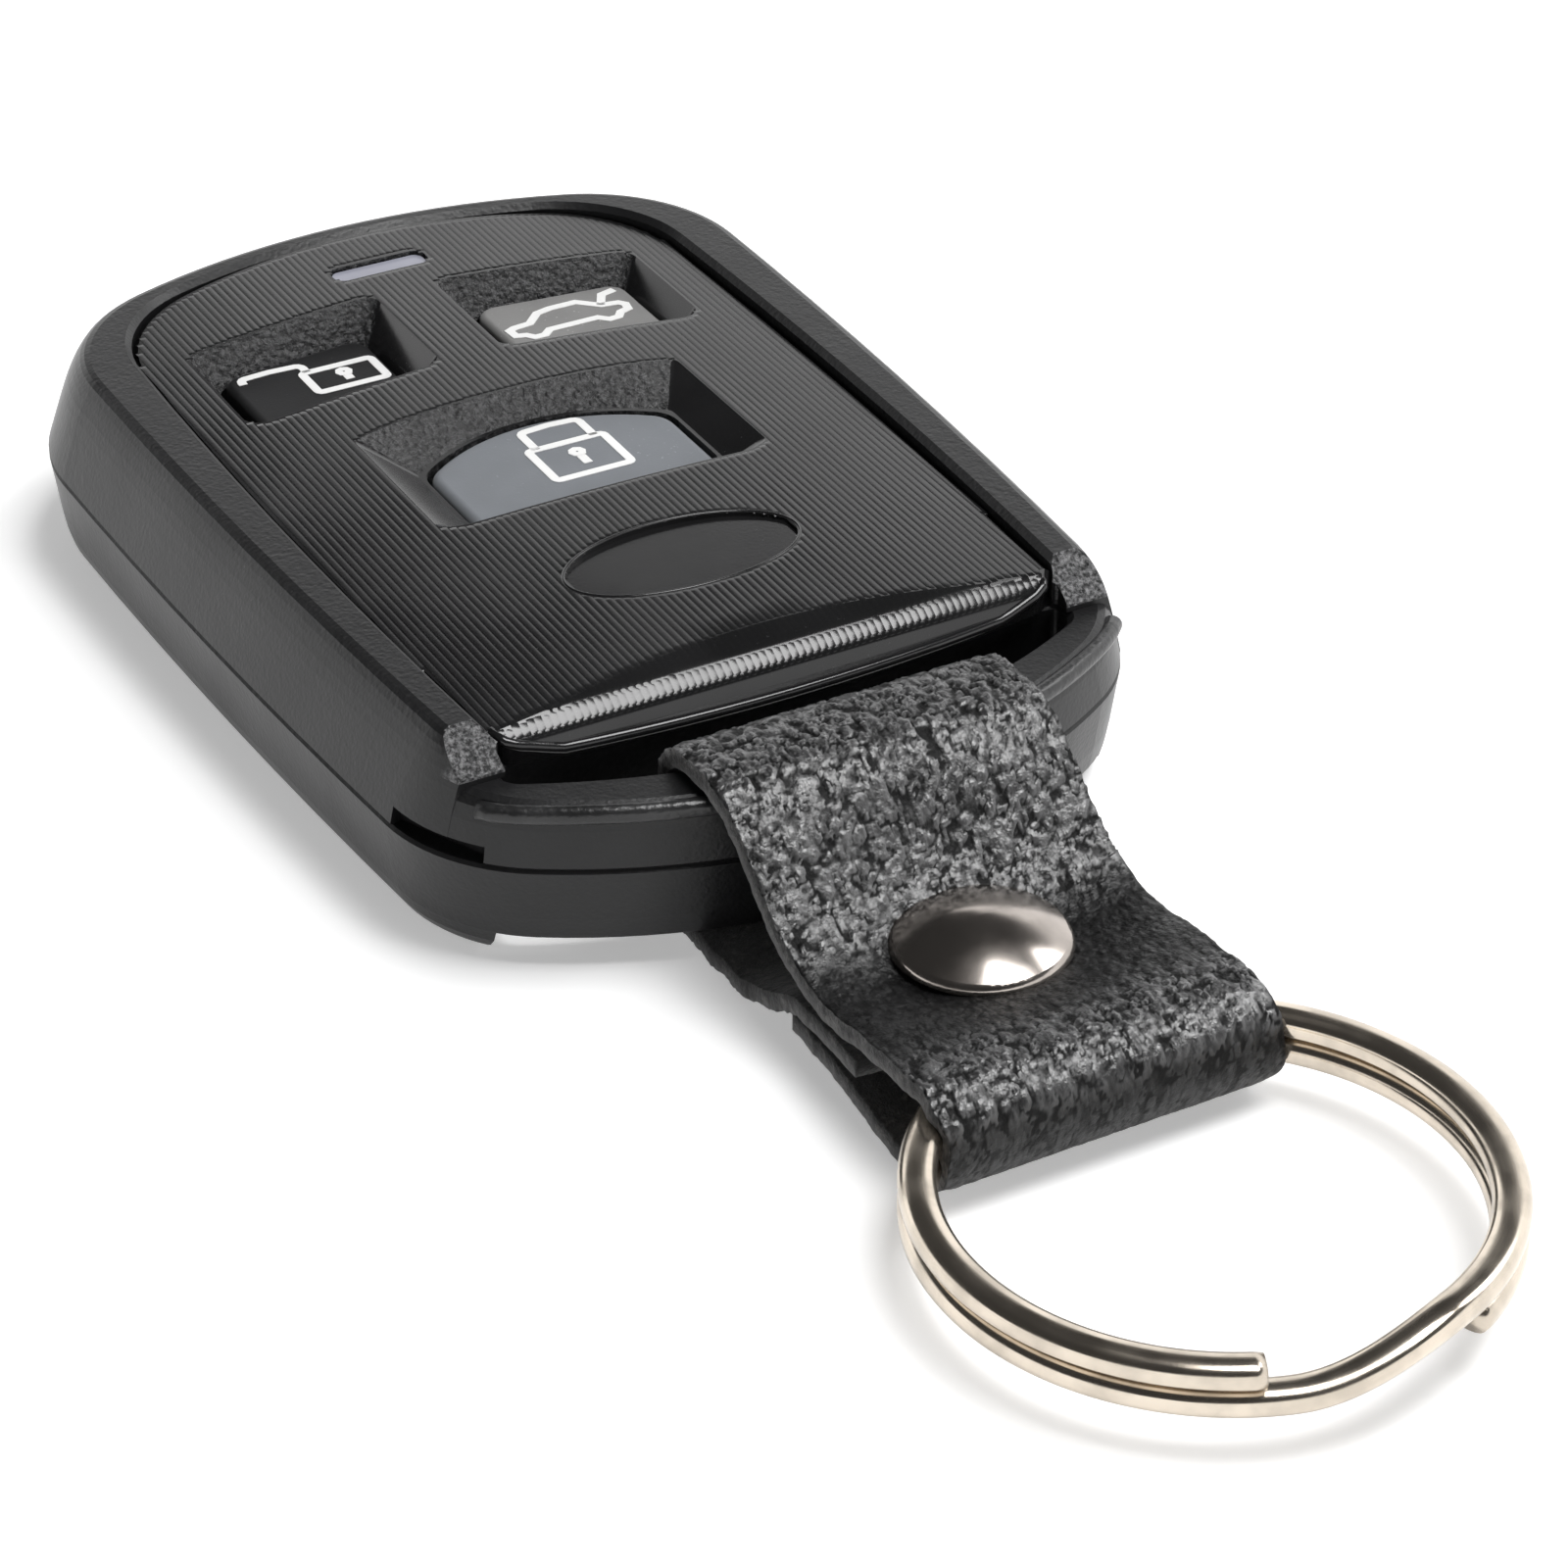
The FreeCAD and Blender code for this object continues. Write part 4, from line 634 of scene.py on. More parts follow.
@dataclass(frozen=True)
class GrainedLeather:
    """Black leather: wrinkled grain on its outer side, from the strip's own flat coordinates, with painted
    glints on its peaks and painted shade in its creases.
    """

    name: str
    # colour is the peaks' colour, lighter than the leather as a painted glint; valley is the creases'
    # near-black colour, a painted shade.
    colour: Colour
    valley: Colour
    shine: float = 0.3
    dull: float = 0.5
    matt: float = 0.16
    glaze: float = 1.92
    pebble: float = 0.36
    depth: float = 0.09
    stretch: Place = (0.75, 1.2, 1.0)
    peak_limits: Flat = (0.1, 0.55)
    pebble_limits: Flat = (0.7, 0.4)
    pebble_floor: float = 0.4
    fine_share: float = 0.6

    def material(self) -> Material:
        """Make the grained side.

        Returns:
            The material.
        """
        made = Surface(self.name)
        graph = made.graph
        place = graph.coords("UV")
        strength = graph.add("ShaderNodeAttribute", attribute_name="grain").outputs["Fac"]
        raised = graph.add("ShaderNodeAttribute", attribute_name="peak").outputs["Fac"]
        pebbles = graph.cells(graph.stretch(place, self.stretch), 1.0 / self.pebble, "SMOOTH_F1")
        fine = graph.speckle(place, scale=6.0, detail=3.0, roughness=0.6)
        crown = graph.rise(pebbles, *self.pebble_limits, start=self.pebble_floor)
        peaks = graph.times(graph.rise(raised, *self.peak_limits), crown, strength)
        relief = graph.math("SUBTRACT", graph.times(fine, self.fine_share), pebbles)
        # Painted light: colour runs from near-black creases (painted shade) to lighter peaks (painted
        # glint). It stays dark where the grain is weak round the rivet, a painted shade there.
        made.set(Base_Color=graph.blend(peaks, opaque(self.valley), opaque(self.colour)))
        made.set(Roughness=graph.rise(peaks, 0.0, 1.0, start=self.dull, end=self.shine))
        made.set(Specular_IOR_Level=self.matt)
        made.set(Coat_Weight=peaks, Coat_Roughness=self.shine, Coat_IOR=self.glaze)
        rough = made.bump(relief, self.depth)
        made.set(Normal=rough, Coat_Normal=rough)
        return made.material


@dataclass(frozen=True)
class RawLeather:
    """The strip's cut edges and flesh side: matt, fibrous and a little paler."""

    name: str
    colour: Colour
    fibre: Colour
    depth: float = 0.12
    loose: float = 0.95
    dense: float = 0.75
    nap: float = 0.3

    def material(self) -> Material:
        """Make the raw side.

        Returns:
            The material.
        """
        made = Surface(self.name)
        graph = made.graph
        place = graph.coords()
        tufts = graph.speckle(place, scale=2600.0, detail=5.0, roughness=0.7)
        threads = graph.speckle(place, scale=900.0, detail=4.0, roughness=0.6)
        share = graph.times(graph.rise(tufts, low=0.45, high=0.72), graph.rise(threads, low=0.35, high=0.6))
        made.set(Base_Color=graph.blend(share, opaque(self.colour), opaque(self.fibre)))
        made.set(Roughness=graph.rise(tufts, low=0.3, high=0.7, start=self.loose, end=self.dense))
        made.set(Sheen_Weight=self.nap)
        made.set(Normal=made.bump(tufts, self.depth))
        return made.material


SHELL = ShellPlastic("shell_plastic", (0.0105, 0.0105, 0.0112), 0.38, 0.2, 0.014)
# A lighter grey than the shell's own plastic: a painted highlight along the rolled edge of the strap bar.
BAR_EDGE_HIGHLIGHT = MouldedPlastic("bar_edge_painted_highlight", (0.03, 0.03, 0.031), 0.34, 0.3, 0.04, 0.6)
PANEL = PanelPlastic("panel_plastic", (0.011, 0.011, 0.0115), 0.21, 0.12, 0.001)
KEY_GREY = Silicone("key_rubber_grey", (0.185, 0.198, 0.217), 0.62, 0.1, 0.004, 0.1)
# The unlock key's near-black colour is painted shade: the key is darkened for the shade that falls on it in
# its well.
KEY_PAINTED_SHADE = Silicone("key_rubber_painted_shade", (0.011, 0.011, 0.012), 0.6, 0.1, 0.004, 0.2, 0.05, 0.2)
KEY_CHARCOAL = Silicone("key_rubber_charcoal", (0.24, 0.238, 0.235), 0.6, 0.1, 0.004, 0.15)
SYMBOL_INK = PrintedInk("symbol_ink", (0.93, 0.93, 0.92), 0.5, 0.15, 0.004, 0.06)
LAMP_WINDOW = ClearWindow("lamp_window", (0.34, 0.345, 0.41), 0.25, 0.3, 0.002, 0.1, 0.0)
RIVET_METAL = PolishedMetal("rivet_nickel", (0.47, 0.425, 0.39), 0.11, 0.08)
RING_METAL = PolishedMetal("ring_nickel", (0.71, 0.63, 0.53), 0.1, 0.1)
# The lighter colour of the grain's peaks is a painted glint, and the near-black of its creases a painted
# shade.
STRAP_GRAIN = GrainedLeather("strap_leather", (0.02, 0.02, 0.021), (0.004, 0.004, 0.004))
STRAP_RAW = RawLeather("strap_raw_side", (0.014, 0.014, 0.014), (0.09, 0.085, 0.08))


@dataclass
class PhotoCamera:
    """The camera at the photograph's place and angle."""

    eye: Place = (-84.08, -172.21, 116.17)
    azimuth: float = -29.0485
    elevation: float = 33.1256
    roll: float = 0.168
    lens: float = 105.75
    sensor: float = 36.0
    clip_start: float = 0.005
    clip_end: float = 20.0

    def build(self) -> None:
        """Make the camera and put it in use."""
        data = bpy.data.cameras.new("photo_camera")
        data.lens = self.lens
        data.sensor_width = self.sensor
        data.clip_start = self.clip_start
        data.clip_end = self.clip_end
        camera = bpy.data.objects.new("photo_camera", data)
        bpy.context.scene.collection.objects.link(camera)
        turn = Matrix.Rotation(math.radians(self.azimuth), 4, "Z")
        tilt = Matrix.Rotation(math.radians(90.0 - self.elevation), 4, "X")
        lean = Matrix.Rotation(math.radians(self.roll), 4, "Z")
        camera.matrix_world = Matrix.Translation(Vector(self.eye) * MM) @ turn @ tilt @ lean
        bpy.context.scene.camera = camera


@dataclass(frozen=True)
class Softbox:
    """A square soft lamp that looks at a point of the object."""

    name: str
    place: Place
    size: float
    power: float
    aim: Place = (0.0, -15.0, 5.0)

    def build(self) -> None:
        """Make the lamp."""
        data = bpy.data.lights.new(self.name, "AREA")
        data.size = self.size * MM
        data.energy = self.power
        lamp = bpy.data.objects.new(self.name, data)
        bpy.context.scene.collection.objects.link(lamp)
        lamp.location = Vector(self.place) * MM
        look = Vector(self.aim) - Vector(self.place)
        lamp.rotation_euler = look.to_track_quat("-Z", "Y").to_euler()


@dataclass
class Studio:
    """A white table under soft lamps, in front of a white backdrop under a dark ceiling."""

    floor_half: float = 3000.0
    floor_colour: Colour = (0.9, 0.9, 0.9)
    floor_glow: float = 0.36
    far_from: float = 200.0
    far_to: float = 600.0
    backdrop: float = 1.4
    backdrop_top: float = 0.39
    dark_from: float = 0.434
    lean: float = 0.2
    dark: float = 0.05
    softboxes: tuple[Softbox, ...] = (
        Softbox("overhead_lamp", (135.0, -125.0, 550.0), 260.0, 2.6),
        Softbox("right_lamp", (420.0, 0.0, 400.0), 170.0, 0.65),
    )

    def build(self) -> None:
        """Make the floor, the world and the lamps."""
        self.build_floor()
        self.build_world()
        for softbox in self.softboxes:
            softbox.build()
        bpy.context.scene.view_settings.view_transform = "Standard"

    def build_floor(self) -> None:
        """Lay a pale floor that shows white and keeps the object's shadow."""
        signs = ((-1.0, -1.0), (1.0, -1.0), (1.0, 1.0), (-1.0, 1.0))
        corners = [Vector((x, y, 0.0)) * self.floor_half for x, y in signs]
        material = bpy.data.materials.new("table_white")
        graph = Graph.blank(material)
        diffuse = graph.add("ShaderNodeBsdfDiffuse", {"Color": opaque(self.floor_colour)})
        path = graph.add("ShaderNodeLightPath").outputs
        seen = graph.math("MAXIMUM", path["Is Camera Ray"], path["Is Glossy Ray"])
        seen = graph.math("MAXIMUM", seen, path["Is Transmission Ray"])
        place = graph.add("ShaderNodeNewGeometry").outputs["Position"]
        away = graph.add("ShaderNodeVectorMath", {0: place}, operation="LENGTH").outputs["Value"]
        far = graph.rise(away, self.far_from * MM, self.far_to * MM, 0.0, 1.0 - self.floor_glow)
        near = graph.times(seen, self.floor_glow)
        strength = graph.math("ADD", near, graph.times(path["Is Camera Ray"], far))
        glow = graph.add("ShaderNodeEmission", {"Strength": strength})
        both = graph.add("ShaderNodeAddShader", {0: diffuse.outputs[0], 1: glow.outputs[0]})
        leave = graph.add("ShaderNodeOutputMaterial")
        graph.feed(leave.inputs["Surface"], both.outputs[0])
        floor = mesh_piece("table", corners, [(0, 1, 2, 3)], [material])

    def build_world(self) -> None:
        """Surround the scene with a white backdrop whose upper part is dark."""
        world = bpy.data.worlds.new("studio")
        bpy.context.scene.world = world
        graph = Graph.blank(world)
        direction = graph.coords("Generated")
        axes = graph.add("ShaderNodeSeparateXYZ", {0: direction}).outputs
        height = graph.math("SUBTRACT", axes["Z"], graph.times(axes["X"], self.lean))
        bright = graph.rise(height, self.backdrop_top, self.dark_from, self.backdrop, self.dark)
        shade = graph.add("ShaderNodeCombineColor", {0: bright, 1: bright, 2: bright}).outputs[0]
        sky = graph.add("ShaderNodeBackground", {"Color": shade, "Strength": 1.0})
        leave = graph.add("ShaderNodeOutputWorld")
        graph.feed(leave.inputs["Surface"], sky.outputs[0])


@dataclass
class CaseShells:
    """The two halves of the case, the rolled edge of the strap bar and the window of the lamp."""

    bar_half: float = 16.0
    bar_radius: float = 0.45
    bar_proud: float = 0.1
    bar_top: float = 8.5
    bar_fade: float = 5.0
    bar_corners: int = 16

    def dress(self) -> None:
        """Finish the shells and the lamp window, and roll the bar's edge."""
        shell = SHELL.material()
        for node in ("upper_shell", "lower_shell"):
            finish_node(node, shell)
        finish_node("light_pipe", LAMP_WINDOW.material())
        self.roll_bar()

    def roll_bar(self) -> None:
        """Make the rolled edge along the front of the strap bar, in a lighter grey that is a painted
        highlight.
        """
        tree = skin_of("upper_shell")
        low, high = (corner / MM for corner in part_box("upper_shell"))
        path = []
        for spot in front_edge(tree, self.bar_half, low.y, high.z):
            fade = 1.0 - smoothstep(0.0, self.bar_fade, self.bar_half - abs(spot.x))
            inside = self.bar_radius - self.bar_proud + 2.0 * self.bar_proud * fade
            path.append(Vector((spot.x, spot.y + inside, self.bar_top - inside)))
        points, faces = bead(path, self.bar_radius, corners=self.bar_corners)
        # The rolled edge gets the lighter grey of a painted highlight, not the shell's colour.
        edge = mesh_piece("bar_edge", points, faces, [BAR_EDGE_HIGHLIGHT.material()])
        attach(edge, Body.CASE.value)


@dataclass
class FacePanel:
    """The ribbed face panel: fine ribs lie along it from its far edge over its nose."""

    pitch: float = 0.368
    rib_height: float = 0.012
    valley: float = 0.004
    sink: float = 0.02
    crown_radius: float = 198.0
    look_step: float = 0.1
    flat_step: float = 2.4
    nose_step: float = 0.3
    nose_y: float = -18.2
    level_slack: float = 0.05
    nose_foot: float = 8.95
    steepest: float = 0.12
    shortest: float = 1.1
    end_points: int = 5
    end_stride: int = 2
    shoulder: Flat = (0.55, 0.72)
    edge: float = 0.25
    lip_half: float = 14.0
    lip_radius: float = 0.28
    lip_proud: float = 0.17
    oval_half: Flat = (5.8, 2.9)
    oval_y: float = -11.225
    oval_radius: float = 0.1
    oval_sink: float = 0.03

    def dress(self) -> None:
        """Finish the panel, lay its ribs and round the edges of its lip and oval."""
        finish = PANEL.material()
        finish_node("face_panel", finish)
        tree = skin_of("face_panel")
        low, high = (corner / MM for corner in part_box("face_panel"))
        count = int((high.x - low.x - 2.0 * self.edge) / self.pitch)
        points: list[Vector] = []
        faces: list[Face] = []
        for index in range(count + 1):
            x = (index - count / 2.0) * self.pitch
            for run in self.runs(tree, x, low.y, high.y, high.z):
                self.lay_rib(run, points, faces)
        self.fit("panel_ribs", points, faces, finish)
        lip = front_edge(tree, self.lip_half, low.y, high.z)
        inside = Vector((0.0, 1.0, -1.0)) * (self.lip_radius - self.lip_proud)
        self.fit("lip_edge", *bead([spot + inside for spot in lip], self.lip_radius), finish)
        self.fit("oval_edge", *bead(self.oval_path(tree, high.z), self.oval_radius, True), finish)

    @staticmethod
    def fit(name: str, points: list[Vector], faces: list[Face], finish: Material) -> None:
        """Make a piece of the panel that rides with the case.

        Args:
            name: its name.
            points: its vertices.
            faces: its faces.
            finish: its material.
        """
        piece = mesh_piece(name, points, faces, [finish])
        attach(piece, Body.CASE.value)

    def oval_path(self, tree: BVHTree, top: float, count: int = 72) -> list[Vector]:
        """Follow the edge of the oval recess on the panel's crown.

        Args:
            tree: the panel's surface.
            top: the panel's highest point.
            count: how many points.

        Returns:
            The points, just outside the recess.
        """
        path = []
        for index in range(count):
            turn = 2.0 * math.pi * index / count
            x = (self.oval_half[0] + self.oval_radius) * math.cos(turn)
            y = self.oval_y + (self.oval_half[1] + self.oval_radius) * math.sin(turn)
            path.append(Vector((x, y, look_down(tree, x, y, top)[0].z - self.oval_sink)))
        return path

    def runs(self, tree: BVHTree, x: float, near: float, far: float, top: float) -> list[list[tuple]]:
        """Find the stretches of panel that one rib lies on.

        Args:
            tree: the panel's surface.
            x: the rib's place across the panel.
            near: the panel's near end.
            far: the panel's far end.
            top: the panel's highest point.

        Returns:
            One list of (point, normal) for each stretch, thinned where the panel is flat.
        """
        seen = []
        steps = int((far - near) / self.look_step)
        for step in range(steps):
            y = far - (step + 0.5) * self.look_step
            seen.append(look_down(tree, x, y, top))
        level = max((hit[0].z for hit in seen if hit), default=top)
        found: list[list[tuple]] = []
        run: list[tuple] = []
        for hit in seen + [None]:
            if hit and self.carries(*hit, level):
                run.append((hit[0], self.crown_normal(x)))
                continue
            if len(run) * self.look_step > self.shortest:
                found.append(self.thinned(self.smoothed(run)))
            run = []
        return found

    def smoothed(self, run: list[tuple], reach: int = 2) -> list[tuple]:
        """Return a run whose nose points face square to the run's own line.

        Args:
            run: (point, normal) pairs from far to near.
            reach: how many points to either side give the line.

        Returns:
            The pairs with smoother normals.
        """
        made = []
        for place, (point, normal) in enumerate(run):
            if point.y < self.nose_y:
                way = run[min(place + reach, len(run) - 1)][0] - run[max(place - reach, 0)][0]
                normal = Vector((normal.x, way.z, -way.y)).normalized()
            made.append((point, normal))
        return made

    def crown_normal(self, x: float) -> Vector:
        """Return the direction that the crowned panel faces at a place across it."""
        return Vector((x / self.crown_radius, 0.0, 1.0)).normalized()

    def carries(self, point: Vector, normal: Vector, level: float) -> bool:
        """Tell whether a rib lies on a spot: on the panel's top, or on its rolled nose.

        Args:
            point: the spot.
            normal: the direction that the panel faces there.
            level: the height of the panel's top.

        Returns:
            Whether it does.
        """
        if point.y < self.nose_y:
            return normal.z > self.steepest and point.z > self.nose_foot
        return point.z > level - self.level_slack

    def thinned(self, run: list[tuple]) -> list[tuple]:
        """Keep a run's ends and the points that its shape needs.

        Args:
            run: (point, normal) pairs from far to near.

        Returns:
            The pairs that are kept.
        """
        end, stride = self.end_points, self.end_stride
        kept = run[:end:stride]
        for hit in run[end:-end]:
            step = self.nose_step if hit[0].y < self.nose_y else self.flat_step
            if (hit[0] - kept[-1][0]).length >= step:
                kept.append(hit)
        return kept + run[-end::stride]

    def lay_rib(self, run: list[tuple], points: list[Vector], faces: list[Face]) -> None:
        """Add one stretch of rib, round on top and closed at its ends.

        Args:
            run: its (point, normal) pairs.
            points: the mesh's vertices, added to.
            faces: the mesh's faces, added to.
        """
        half, high, low = self.pitch / 2.0, self.rib_height, self.valley
        wide, round_high = self.shoulder[0] * half, self.shoulder[1] * high
        section = ((-half, low), (-wide, round_high), (0.0, high), (wide, round_high), (half, low))
        first = len(points)
        width = len(section)
        for place, (point, normal) in enumerate(run):
            sunk = self.rib_height + self.sink if place in (0, len(run) - 1) else 0.0
            for across, up in section:
                points.append(point + Vector((across, 0.0, 0.0)) + normal * (up - sunk))
        for row in range(len(run) - 1):
            for column in range(width - 1):
                corner = first + row * width + column
                faces.append((corner, corner + width, corner + width + 1, corner + 1))
        last = first + (len(run) - 1) * width
        faces.append(tuple(first + column for column in range(width)))
        faces.append(tuple(last + width - 1 - column for column in range(width)))


def front_edge(tree: BVHTree, half: float, near: float, top: float, step: float = 0.5) -> list[Vector]:
    """Follow the front edge of a surface as it is seen from above.

    Args:
        tree: the surface.
        half: how far to either side the edge is followed.
        near: a place in front of it.
        top: a height over it.
        step: space between the points.

    Returns:
        Points on the edge, from left to right.
    """
    path = []
    for index in range(round(2.0 * half / step) + 1):
        x = index * step - half
        clear, met = near - RAY_CLEARANCE, near + EDGE_REACH
        while met - clear > EDGE_PRECISION:
            middle = (clear + met) / 2.0
            if look_down(tree, x, middle, top):
                met = middle
            else:
                clear = middle
        path.append(Vector((x, met, look_down(tree, x, met + EDGE_INSIDE, top)[0].z)))
    return path


def tube_faces(slices: int, corners: int, closed: bool = False, first: int = 0) -> list[Face]:
    """Join the sections of a tube, and close its ends.

    Args:
        slices: how many sections.
        corners: points in each section.
        closed: whether the last section joins the first.
        first: number of the tube's first point.

    Returns:
        The tube's faces.
    """
    faces: list[Face] = []
    for i in range(slices if closed else slices - 1):
        here, there = first + i * corners, first + (i + 1) % slices * corners
        for k in range(corners):
            following = (k + 1) % corners
            faces.append((here + k, here + following, there + following, there + k))
    if not closed:
        last = first + (slices - 1) * corners
        faces += [tuple(reversed(range(first, first + corners))), tuple(range(last, last + corners))]
    return faces


def bead(
    path: list[Vector], radius: float, closed: bool = False, corners: int = 8,
) -> tuple[list[Vector], list[Face]]:
    """Return a round bead along a path that lies about level.

    Args:
        path: its middle line.
        radius: its radius.
        closed: whether the last point joins the first.
        corners: points round its section.

    Returns:
        The bead's vertices and faces.
    """
    count = len(path)
    points: list[Vector] = []
    for i, spot in enumerate(path):
        before = path[i - 1] if i or closed else spot
        after = path[(i + 1) % count] if i + 1 < count or closed else spot
        side = DOWN.cross(after - before).normalized()
        for k in range(corners):
            turn = 2.0 * math.pi * k / corners
            points.append(spot + side * radius * math.cos(turn) - DOWN * radius * math.sin(turn))
    return points, tube_faces(count, corners, closed)


def arc(centre: Flat, radius: float, start: float, end: float, count: int) -> list[Flat]:
    """Return points on an arc between two angles in degrees, ends included."""
    turns = [math.radians(start + (end - start) * i / (count - 1)) for i in range(count)]
    return [(centre[0] + radius * math.cos(t), centre[1] + radius * math.sin(t)) for t in turns]


@dataclass
class Stroke:
    """A line of ink of one width through flat points, round at its ends and joints."""

    points: list[Flat]
    width: float
    closed: bool = False


@dataclass
class KeySymbols:
    """White symbols printed on the keys: a closed padlock, an open padlock and a car with its boot up."""

    line: float = 0.44
    ink: float = 0.03
    lock_at: Flat = (0.73, 0.6)
    unlock_at: Flat = (-5.45, 14.03)
    car_at: Flat = (6.95, 14.25)
    body_half: Flat = (2.0, 1.58)
    shackle_half: float = 1.55
    shackle_rise: float = 1.85
    open_rise: float = 0.85
    open_half: Flat = (1.85, 1.1)
    open_overlap: float = 0.3
    open_wider: float = 0.15
    open_short: float = 0.3
    corner: float = 0.22
    hole_at: Flat = (0.1, 0.316)
    hole_radius: float = 0.26
    hole_line: float = 0.36
    slot_from: float = 0.42
    slot_to: float = 0.45
    slot_line: float = 0.46
    bend: float = 0.35
    crown: float = 0.08
    sharpest: float = 0.5
    over_keys: float = 19.0
    key_level: float = 9.0

    def dress(self) -> None:
        """Finish the keys and print their symbols."""
        finish_node("lock_key", KEY_GREY.material())
        # The unlock key is painted near black, a painted shade.
        finish_node("unlock_key", KEY_PAINTED_SHADE.material())
        finish_node("trunk_key", KEY_CHARCOAL.material())
        ink = SYMBOL_INK.material()
        printed = (
            ("lock_symbol", "lock_key", Body.LOCK, self.lock_at, self.closed_padlock()),
            ("unlock_symbol", "unlock_key", Body.UNLOCK, self.unlock_at, self.open_padlock()),
            ("trunk_symbol", "trunk_key", Body.TRUNK, self.car_at, self.car()),
        )
        for symbol in printed:
            self.print_symbol(*symbol, ink)

    def padlock(self, half: Flat) -> list[Stroke]:
        """Draw a padlock's body with its keyhole.

        Args:
            half: half of the body's width and height.

        Returns:
            Its strokes.
        """
        wide, high = half
        corner = self.corner
        outline: list[Flat] = []
        for x, y, turn in ((1, 1, 0), (-1, 1, 90), (-1, -1, 180), (1, -1, 270)):
            outline += arc((x * (wide - corner), y * (high - corner)), corner, turn, turn + 90, 4)
        x, y = self.hole_at[0], self.hole_at[1] * high
        return [
            Stroke(outline, self.line, True),
            Stroke(arc((x, y), self.hole_radius, 0, 315, 8), self.hole_line, True),
            Stroke([(x, y - self.slot_from), (x, -self.slot_to * high)], self.slot_line),
        ]

    def shackle(self, left: Flat, right: Flat, rise: float) -> Stroke:
        """Draw a shackle with bent shoulders and a slight crown.

        Args:
            left: its left foot.
            right: its right foot.
            rise: its height over the right foot.

        Returns:
            Its stroke.
        """
        bend, top = self.bend, right[1] + rise
        bow = arc((right[0] - bend, top - bend), bend, 0, 80, 4)
        bow.append(((left[0] + right[0]) / 2.0, top + self.crown))
        bow += arc((left[0] + bend, top - bend), bend, 100, 180, 4)
        return Stroke([right] + bow + [left], self.line)

    def closed_padlock(self) -> list[Stroke]:
        """Draw the closed padlock, whose shackle stands on its body.

        Returns:
            Its strokes.
        """
        half, foot = self.shackle_half, self.body_half[1]
        return self.padlock(self.body_half) + [self.shackle((-half, foot), (half, foot), self.shackle_rise)]

    def open_padlock(self) -> list[Stroke]:
        """Draw the open padlock, whose shackle is swung out beside its body.

        Returns:
            Its strokes.
        """
        foot = self.open_half[1]
        right = self.open_overlap - self.open_half[0]
        left = right - 2.0 * self.shackle_half - self.open_wider
        swung = self.shackle((left, foot + self.open_short), (right, foot), self.open_rise)
        return self.padlock(self.open_half) + [swung]

    def car(self) -> list[Stroke]:
        """Draw the car's outline, with wheel arches below and its boot lid up.

        Returns:
            Its strokes.
        """
        outline = [
            (-3.25, 0.05), (-2.9, 0.22), (-2.0, 0.3), (-1.2, 1.12), (-0.4, 1.3), (1.05, 1.3), (2.05, 0.38),
            (2.95, 0.22), (3.2, -0.1), (3.1, -0.6), (2.6, -0.75), (2.3, -1.15), (1.75, -1.2), (1.3, -0.75),
            (-1.4, -0.75), (-1.85, -1.15), (-2.4, -1.15), (-2.7, -0.75), (-3.2, -0.6),
        ]
        lid = [(2.05, 0.38), (2.6, 1.4), (3.4, 1.6)]
        return [Stroke(outline, self.line, True), Stroke(lid, self.line)]

    def print_symbol(
        self, name: str, key: str, body: Body, at: Flat, strokes: list[Stroke], ink: Material,
    ) -> None:
        """Print strokes on a key's top.

        Args:
            name: the symbol's name.
            key: the node of the key.
            body: the body that the key moves with.
            at: the symbol's middle.
            strokes: its lines, about that middle.
            ink: its material.
        """
        tree = skin_of(key)
        points: list[Vector] = []
        faces: list[Face] = []
        for stroke in strokes:
            self.lay_stroke(stroke, at, tree, points, faces)
        symbol = mesh_piece(name, points, faces, [ink], smooth=False)
        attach(symbol, body.value)

    def lay_stroke(
        self, stroke: Stroke, at: Flat, tree: BVHTree, points: list[Vector], faces: list[Face],
    ) -> None:
        """Add one stroke as a raised ribbon with mitred joints.

        Args:
            stroke: the line.
            at: the symbol's middle.
            tree: the key's surface.
            points: the mesh's vertices, added to.
            faces: the mesh's faces, added to.
        """
        path = [Vector(p) + Vector(at) for p in stroke.points]
        section = ((-1, -self.ink), (-1, self.ink), (1, self.ink), (1, -self.ink))
        count = len(path)
        first = len(points)
        for i, spot in enumerate(path):
            before = path[i - 1] if i or stroke.closed else None
            after = path[(i + 1) % count] if i + 1 < count or stroke.closed else None
            ways = [way.normalized() for way in (before and spot - before, after and after - spot) if way]
            along = sum(ways, Vector((0.0, 0.0))).normalized()
            across = Vector((-along.y, along.x))
            reach = stroke.width / 2.0 / max(self.sharpest, along.dot(ways[0]))
            for side, height in section:
                points.append(self.on_key(tree, spot + across * reach * side, height))
        faces += tube_faces(count, len(section), stroke.closed, first)

    def on_key(self, tree: BVHTree, flat: Vector, height: float) -> Vector:
        """Return a point at a height over the key's top.

        Args:
            tree: the key's surface.
            flat: the point's place as seen from above.
            height: its height over the key.

        Returns:
            The point.
        """
        hit = look_down(tree, flat.x, flat.y, self.over_keys)
        level = hit[0].z if hit else self.key_level
        return Vector((flat.x, flat.y, level + height))


